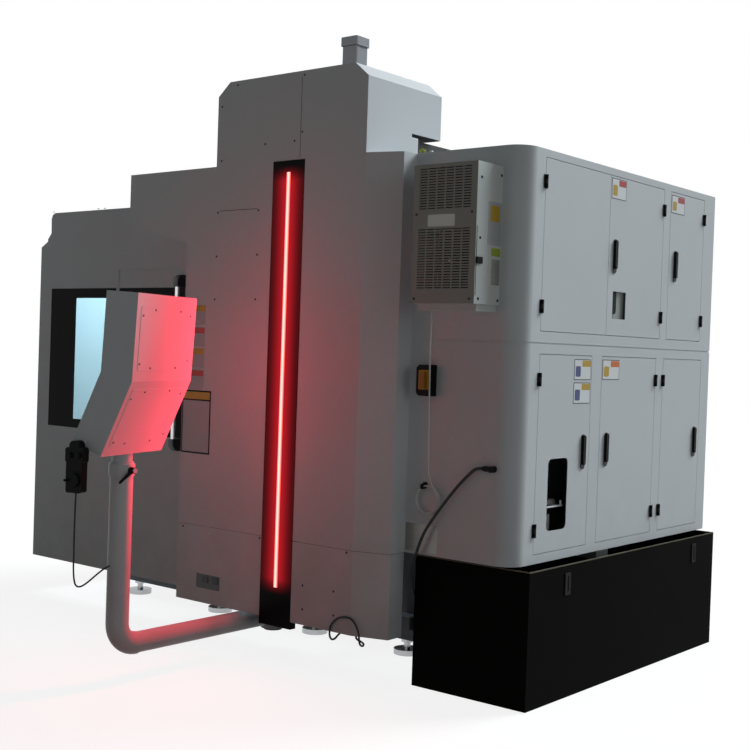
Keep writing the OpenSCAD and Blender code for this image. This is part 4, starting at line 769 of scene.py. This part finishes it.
for door in ("upper_right", "upper_rear", "lower_left", "lower_middle", "lower_rear"):
    low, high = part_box(door + "_handle")
    lock = (high.x * 1000, (low.y + high.y) * 500, low.z * 1000 + LOCK_UP)
    screws(door + "_lock", door + "_lever", [(lock, RIGHT)], 0.9)

# %% [markdown]
# ## Behind the doors' openings
# A grey device with a black cover stands on four studs behind the square cut-out and turns with its door.
# Behind the tall window a white pipe with a short branch runs on two arms from the lubrication unit. Both
# lie close to their openings, so daylight reaches them.

# %% Device and pipe
device_grey = finish("device_grey", (158, 166, 162), rough=0.5, drift=0.06)
CUT_Y0, CUT_Z0, CUT_Y1, CUT_Z1 = 481.5, 1809, 619.5, 1947
device = [plate((door_x - 19, CUT_Y0 - 25, CUT_Z0 - 25), (door_x - 16, CUT_Y1 + 25, CUT_Z1 + 25),
                device_grey, 6, 1),
          plate((door_x - 17, CUT_Y0 - 12, CUT_Z0 + 24), (door_x - 12, CUT_Y0 + 62, CUT_Z1 + 10),
                black_plastic, 18, 1.5),
          plate((door_x - 17, CUT_Y0 - 12, CUT_Z0 - 10), (door_x - 13, CUT_Y0 + 30, CUT_Z0 + 30),
                black_plastic, 8, 1.5)]
for y in (CUT_Y0 - 20, CUT_Y1 + 10):
    for z in (CUT_Z0 - 20, CUT_Z1 + 10):
        device.append(plate((door_x - 16.5, y, z), (door_x - 2.5, y + 10, z + 10), zinc, 0, 1))
done("cutout_device", "upper_right", device)
pipe = [plate((door_x - 31, -92, 891), (door_x - 23, 104, 899), white_field, 0, 2.5),
        plate((door_x - 31, 80, 897), (door_x - 23, 90, 922), white_field, 0, 2.5)]
for y in (-76, 88):
    pipe.append(plate((door_x - 90, y, 892), (door_x - 24, y + 6, 898), white_field, 0, 1))
done("sight_pipe", "machine", pipe)

# %% [markdown]
# ## Cooling unit and cabinet front
# The cooling unit has a bare plate between its two grilles, a dark core behind them, and a latch and
# several fields on its right side. The main switch carries a warm yellow field round its handle, and a
# large bare plate sits low on the cabinet's front.

# %% Cooling unit and cabinet front
low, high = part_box("cooler_housing")
front_y = low.y * 1000
side_x = high.x * 1000
screws("cooler_screws", "machine",
       [((x, front_y, z), FRONT) for x in (1331, 1638) for z in (2236, 1851)]
       + [((side_x, y, z), RIGHT) for y, z in ((-546, 2392), (-390, 2418), (-545, 2123), (-545, 1853),
                                               (-390, 1852))])
done("cooler_plate", "machine", [front_field(1396, 1546, 2177, 2231, 0.8, bare_plate, front_y, 3)])
done("cooler_fields", "machine", [
    plate((side_x - 0.2, -486, 2098), (side_x + 0.8, -380, 2292), pale_field, 3),
    plate((side_x - 0.2, -470, 2204), (side_x + 1.2, -396, 2276), ochre_field, 3),
    plate((side_x - 0.2, -452, 2050), (side_x + 0.8, -382, 2086), green_field, 2),
    plate((side_x - 0.2, -446, 1920), (side_x + 0.8, -382, 2036), bare_plate, 2)])
core_x = (low.x * 1000 + 14, side_x - 14)
back_y = high.y * 1000
done("cooler_core", "machine", [
    plate((core_x[0], front_y + 30, 2190), (core_x[1], front_y + 40, 2440), black_plastic, 4, 1),
    plate((core_x[0], back_y - 12, 1850), (core_x[1], back_y - 4, 2180), black_plastic, 4, 1)])
done("cooler_latch", "machine", [
    plate((side_x - 0.5, -574, 2008), (side_x + 10, -530, 2038), black_plastic, 0, 2),
    plate((side_x - 0.5, -572, 1866), (side_x + 0.5, -567, 2174), seam_black, 0, 0.1)])
cabinet_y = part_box("upper_cabinet")[0].y * 1000
SWITCH_T = 46
switch_y = cabinet_y - SWITCH_T
done("switch_field", "machine", [front_field(1256, 1319, 1432, 1524, 0.2, ochre_field, switch_y, 4)])
done("data_plate", "machine", [front_field(1176, 1364, 656, 790, 0.8, bare_plate, cabinet_y, 3)])
done("hose_tie", "machine", [
    plate((1278, cabinet_y - 34, 961), (1290, cabinet_y, 985), black_plastic, 3, 1.2),
    plate((1272, cabinet_y - 6, 968), (1296, cabinet_y, 992), black_plastic, 4, 1.2)])
print("switch face at y", round(switch_y, 1), "mm")

# %% [markdown]
# ## Work lamp
# A flat lamp hangs under the room's roof, and its opal lens lies in a channel of the housing. The lens is a
# plate with eased edges that glows.

# %% Lens of the work lamp
done("lamp_opal", "machine", [plate((-1598, 147, 2348), (-1536, 979, 2356), lamp_lens, 3, 1)])

# %% [markdown]
# ## Console back
# The back of the console looks at the camera. A cover with rounded corners is screwed to each of its two
# legs. Points there are given across the console and up along a leg, and one function turns them into the
# machine's frame, so that plate and screws can be laid out flat and then set on the slope.

# %% Covers and screws on the console's back
LEAN = (math.radians(24), math.radians(3))
FOOT, BEND, HALF = 1093, 1434, 82.5
leg_start = [(-HALF * math.cos(LEAN[0]), FOOT)]
leg_start.append((leg_start[0][0] - (BEND - FOOT) * math.tan(LEAN[0]), BEND))


def on_back(leg, side, up, out=0.0):
    """A point on the console's back: leg 0 is the lower one, up runs along it and out leaves the face."""
    x, z = leg_start[leg]
    x -= math.sin(LEAN[leg]) * up + math.cos(LEAN[leg]) * out
    z += math.cos(LEAN[leg]) * up - math.sin(LEAN[leg]) * out
    return beside_post(x, side, z)


def leg_frame(leg):
    """The matrix of a leg's back, with X across, Y up the leg and Z out of the face, in metres."""
    origin = mm(*on_back(leg, 0, 0))
    ways = ((1, 0, 0), (0, 1, 0), (0, 0, 1))
    axes = [(mm(*on_back(leg, *way)) - origin).normalized() for way in ways]
    return Matrix.Translation(origin) @ Matrix(axes).transposed().to_4x4()


for leg, name in enumerate(("lower_back_cover", "upper_back_cover")):
    cover = plate((-184, 46, -0.5), (254, 336, 1.5), paint, 14, 0.6)
    cover.matrix_world = leg_frame(leg)
    done(name, "console", [cover])
spots = ((1, ((137, 322), (-78, 324), (236, 293), (-168, 305), (240, 78), (150, 60), (-64, 62), (-168, 96))),
         (0, ((240, 287), (148, 320), (-60, 324), (-168, 307), (235, 70), (139, 60), (-71, 62), (-168, 92))))
away = [Vector(on_back(leg, 0, 0, 1)) - Vector(on_back(leg, 0, 0)) for leg in (0, 1)]
COVER_T = 1.5
screws("console_screws", "console",
       [(on_back(leg, side, up, COVER_T), away[leg]) for leg, pairs in spots for side, up in pairs],
       0.75, painted_screw)

# %% [markdown]
# ## Keys of the console
# The operator's side has a panel with rows of keys. Panel and keys are one solid, and the keys stand three
# millimetres proud. A limit along the panel's own normal, in Object coordinates, makes them paler than the
# panel. A second limit on height leaves the screen's frame as it is.

# %% Keys
KEY_DEPTH, PANEL_TOP = 165.5, 1.485
panel_plastic = finish("panel_plastic", (52, 55, 58), rough=0.5, drift=0.15, bump=0.3, bump_scale=700,
                       gloss=0.15)
tree = panel_plastic.node_tree
place = next(n for n in tree.nodes if n.type == "TEX_COORD").outputs["Object"]
facing = (mm(*on_back(0, 0, 0)) - mm(*on_back(0, 0, 0, 1))).normalized()
depth = tree.nodes.new("ShaderNodeVectorMath")
depth.operation = "DOT_PRODUCT"
depth.inputs[1].default_value = facing
wire(tree, place, depth.inputs[0])
key_foot = facing.dot(mm(*on_back(0, 0, 0, -KEY_DEPTH)))
raised = number(tree, "GREATER_THAN", depth.outputs["Value"], key_foot)
on_keys = number(tree, "MULTIPLY", raised, number(tree, "LESS_THAN", object_axes(tree)["Z"], PANEL_TOP))
colour = tree.nodes["Principled BSDF"].inputs["Base Color"]
wire(tree, mixed(tree, on_keys, colour.links[0].from_socket, linear((142, 145, 146))), colour)
nodes["operator_panel"].data.materials[0] = panel_plastic
print("keys begin", round(key_foot, 4), "m along the panel's normal")

# %% [markdown]
# ## Roof fittings
# The tower's cut-out has a dark sheet under its top, which is painted shade, and a pale upright at its front
# edge. Behind it a dark cable tray runs to the rear over the roof, a plate hollowed by an inset. A coated
# lifting eye, a torus pressed flat on its collar, and a small pale cap stand between the tower and the
# cabinet.

# %% Roof fittings
roof_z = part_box("roof")[1].z * 1000
tower_low, tower_high = (corner * 1000 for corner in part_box("tower_cover"))
NOTCH_D, NOTCH_H = 240, 145
notch_y = tower_high.y - NOTCH_D
notch_z = roof_z + NOTCH_H
# A dark sheet under the top of the tower's cut-out: painted shade, where the underside lies in shadow.
done("notch_painted_shade", "machine", [
    plate((tower_low.x + 3, notch_y + 1, notch_z - 3), (tower_high.x - 3, tower_high.y - 3, notch_z),
          seam_black, 0, 0.8)])
done("notch_upright", "machine", [
    plate((tower_high.x - 26, notch_y, roof_z - 0.5), (tower_high.x - 1, notch_y + 54, roof_z + 127),
          paint, 0, 2)])
tray = plate((880, notch_y + 58, roof_z - 0.5), (952, 1600, roof_z + 122), seam_black, 0, 0)
only(tray)
pick(tray, faces=lambda face: face.normal.z > 0.9)
bpy.ops.mesh.inset(thickness=0.006, depth=0.0)
bpy.ops.mesh.inset(thickness=0.0005, depth=-0.1)
bpy.ops.object.mode_set(mode="OBJECT")
done("cable_tray", "machine", [tray])
EYE_X, EYE_Y = 1097, -242
bpy.ops.object.select_all(action="DESELECT")
bpy.ops.mesh.primitive_torus_add(location=mm(EYE_X, EYE_Y, roof_z + 36), rotation=(math.pi / 2, 0, 0.6),
                                 major_segments=32, minor_segments=10, major_radius=0.0105,
                                 minor_radius=0.0062)
eye = bpy.context.object
bpy.ops.object.transform_apply(location=True, rotation=True, scale=True)
pick(eye, faces=lambda face: face.center.z < (roof_z + 28) * 0.001)
bpy.ops.transform.resize(value=(1.3, 1.3, 1))
bpy.ops.object.mode_set(mode="OBJECT")
eye.data.materials.append(green_field)
foot = plate((EYE_X - 10, EYE_Y - 10, roof_z - 0.5), (EYE_X + 10, EYE_Y + 10, roof_z + 26), green_field, 6, 2)
done("lifting_eye", "machine", [eye, foot])
done("roof_cap", "machine", [plate((1131, -229, roof_z - 0.5), (1145, -215, roof_z + 42), white_field, 4, 2)])

# %% [markdown]
# ## Sheets at the rear, the left and on the roof
# Walls of this size are screwed together from several sheets. Thin dark strips draw the seams, and screws
# follow the seams and edges at an even pitch. A loop lays out each wall from its box, so that both stay on
# the sheet.

# %% Seams of the outer walls
room_low, room_high = (corner * 1000 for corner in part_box("room_cover"))
rear_y, left_x, room_z = room_high.y, room_low.x, 2408
REAR_SEAMS = ((-850, room_z - 8), (160, roof_z - 8))
SIDE_SEAM, ROOF_SEAM, ROOM_SEAM = 600, 160, -1230
SEAM, SEAM_FOOT, SIDE_TOP, PROUD, SHORT = 1.5, 240, 2190, 0.4, 6
seams = [((x - SEAM, rear_y - PROUD, SEAM_FOOT), (x + SEAM, rear_y + PROUD, top)) for x, top in REAR_SEAMS]
seams.append(((left_x - PROUD, SIDE_SEAM - SEAM, SEAM_FOOT), (left_x + PROUD, SIDE_SEAM + SEAM, SIDE_TOP)))
for x, front, top in ((ROOF_SEAM, tower_high.y, roof_z), (ROOM_SEAM, room_low.y, room_z)):
    seams.append(((x - SEAM, front + SHORT, top - PROUD), (x + SEAM, rear_y - SHORT, top + PROUD)))
done("wall_seams", "machine", [plate(near, far, seam_black, rim=0.1) for near, far in seams])

# %% Screws of the outer walls
REAR = (0, 1, 0)
LEFT = (-1, 0, 0)
UP = (0, 0, 1)
SUNK = 2.5  # These heads are nearly flush, so that the outer walls keep their size
BESIDE, INSET = 30, 40
cabinet_low, cabinet_high = (corner * 1000 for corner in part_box("upper_cabinet"))
ROWS = (300, 660, 1020, 1380, 1740, 2100)
REAR_X = (-1832, -880, -820, 130, 190, 1140)
CABINET_X = (cabinet_low.x + BESIDE, cabinet_high.x - BESIDE)
CABINET_Z = (700, 1150, 1600, 1710, 2110, 2510)
screws("rear_screws", "machine", [((x, rear_y - SUNK, z), REAR) for x in REAR_X for z in ROWS]
       + [((x, cabinet_high.y - SUNK, z), REAR) for x in CABINET_X for z in CABINET_Z])
LEFT_Y = (room_low.y + INSET, SIDE_SEAM - BESIDE, SIDE_SEAM + BESIDE, rear_y - INSET)
screws("left_screws", "machine", [((left_x + SUNK, y, z), LEFT) for z in ROWS for y in LEFT_Y])
ROOF_X, ROOF_Y = (-700, ROOF_SEAM - BESIDE, ROOF_SEAM + BESIDE, 1130), (200, 650, 1100, 1600)
ROOM_X, ROOM_Y = (-1700, ROOM_SEAM - BESIDE, ROOM_SEAM + BESIDE, -770), (-350, 300, 950, 1600)
screws("roof_screws", "machine", [((x, y, roof_z), UP) for x in ROOF_X for y in ROOF_Y]
       + [((x, y, room_z), UP) for x in ROOM_X for y in ROOM_Y])

# %% [markdown]
# ## Light and floor
# The hall's light comes from above on the far right, so the cabinet's doors are bright and the fascia is in
# shade. A soft sun gives that, with a weak even sky. The floor is pale. The background in the photograph is
# white, so rays from the camera and reflections see white, while the light on the machine stays at a plain
# level.


# %% World
def seen_by_eye(tree):
    """1 for rays from the camera, for reflections and for rays through glass."""
    path = tree.nodes.new("ShaderNodeLightPath")
    both = number(tree, "MAXIMUM", path.outputs["Is Camera Ray"], path.outputs["Is Glossy Ray"])
    return number(tree, "MAXIMUM", both, path.outputs["Is Transmission Ray"])


hall = bpy.data.worlds.new("hall")
scene.world = hall
hall.use_nodes = True
tree = hall.node_tree
sky = tree.nodes["Background"]
eye_ray = seen_by_eye(tree)
wire(tree, mixed(tree, eye_ray, (0.98, 1.0, 0.92), (1, 1, 1)), sky.inputs["Color"])
SKY_LIGHT, WHITE = 0.075, 1.0
wire(tree, ranged(tree, eye_ray, SKY_LIGHT, WHITE, 0, 1), sky.inputs["Strength"])
print("the sky lights at", SKY_LIGHT, "and looks like", WHITE)

# %% Floor
bpy.ops.object.select_all(action="DESELECT")
bpy.ops.mesh.primitive_plane_add(size=60, location=(0, 0, -0.002))
floor = bpy.context.object
floor.name = "floor"
pale_floor = finish("pale_floor", (112, 112, 111), rough=0.8, drift=0.02, bump=0.0, gloss=0.05)
tree = pale_floor.node_tree
shader = tree.nodes["Principled BSDF"]
shader.inputs["Emission Color"].default_value = (1, 1, 1, 1)
FLOOR_WHITE = 0.86
wire(tree, number(tree, "MULTIPLY", seen_by_eye(tree), FLOOR_WHITE), shader.inputs["Emission Strength"])
floor.data.materials.append(pale_floor)
print("the floor is", round(floor.dimensions.x), "m wide")


# %% Lamps
def lamp(name, kind, place, aim, energy, colour, **settings):
    """A lamp at a place in metres that shines along a direction."""
    bpy.ops.object.light_add(type=kind, location=place)
    obj = bpy.context.object
    obj.name = name
    obj.rotation_euler = Vector(aim).to_track_quat("-Z", "Y").to_euler()
    obj.data.energy = energy
    obj.data.color = colour
    for key, value in settings.items():
        setattr(obj.data, key, value)
    obj.visible_camera = False
    return obj


STRIP_RED = (1.0, 0.03, 0.06)
STRIP_UP = 0.2
lamp("hall_light", "SUN", (6, 6, 8), (-0.273, -0.751, -0.601), 3.7, (0.91, 0.98, 1.02),
     angle=math.radians(30))
lamp("side_light", "SUN", (8, 0, 3), (-1, 0.05, -0.12), 0.25, (0.95, 1.0, 1.0), angle=math.radians(40))
lamp("room_light", "AREA", (-1.0, 0.55, 2.3), (0, 0, -1), 38, (0.75, 0.94, 1.0), shape="RECTANGLE", size=1.2,
     size_y=1.6)
for name, out, aim, energy in (("strip_outwards", 0.01, (0, -1, 0), 42),
                               ("strip_spill", 0.2, (0, 1, 0), 0.2)):
    spot = (lens_mid.x, lens_low.y - out, lens_mid.z + STRIP_UP)
    red = lamp(name, "AREA", spot, aim, energy, STRIP_RED, shape="RECTANGLE", size=0.03, size_y=1.6)
    red.visible_glossy = False

# %% [markdown]
# ## Tidying up
# The screw that was copied isn't part of the machine, so it goes.

# %% Tidying up
bpy.data.objects.remove(screw)
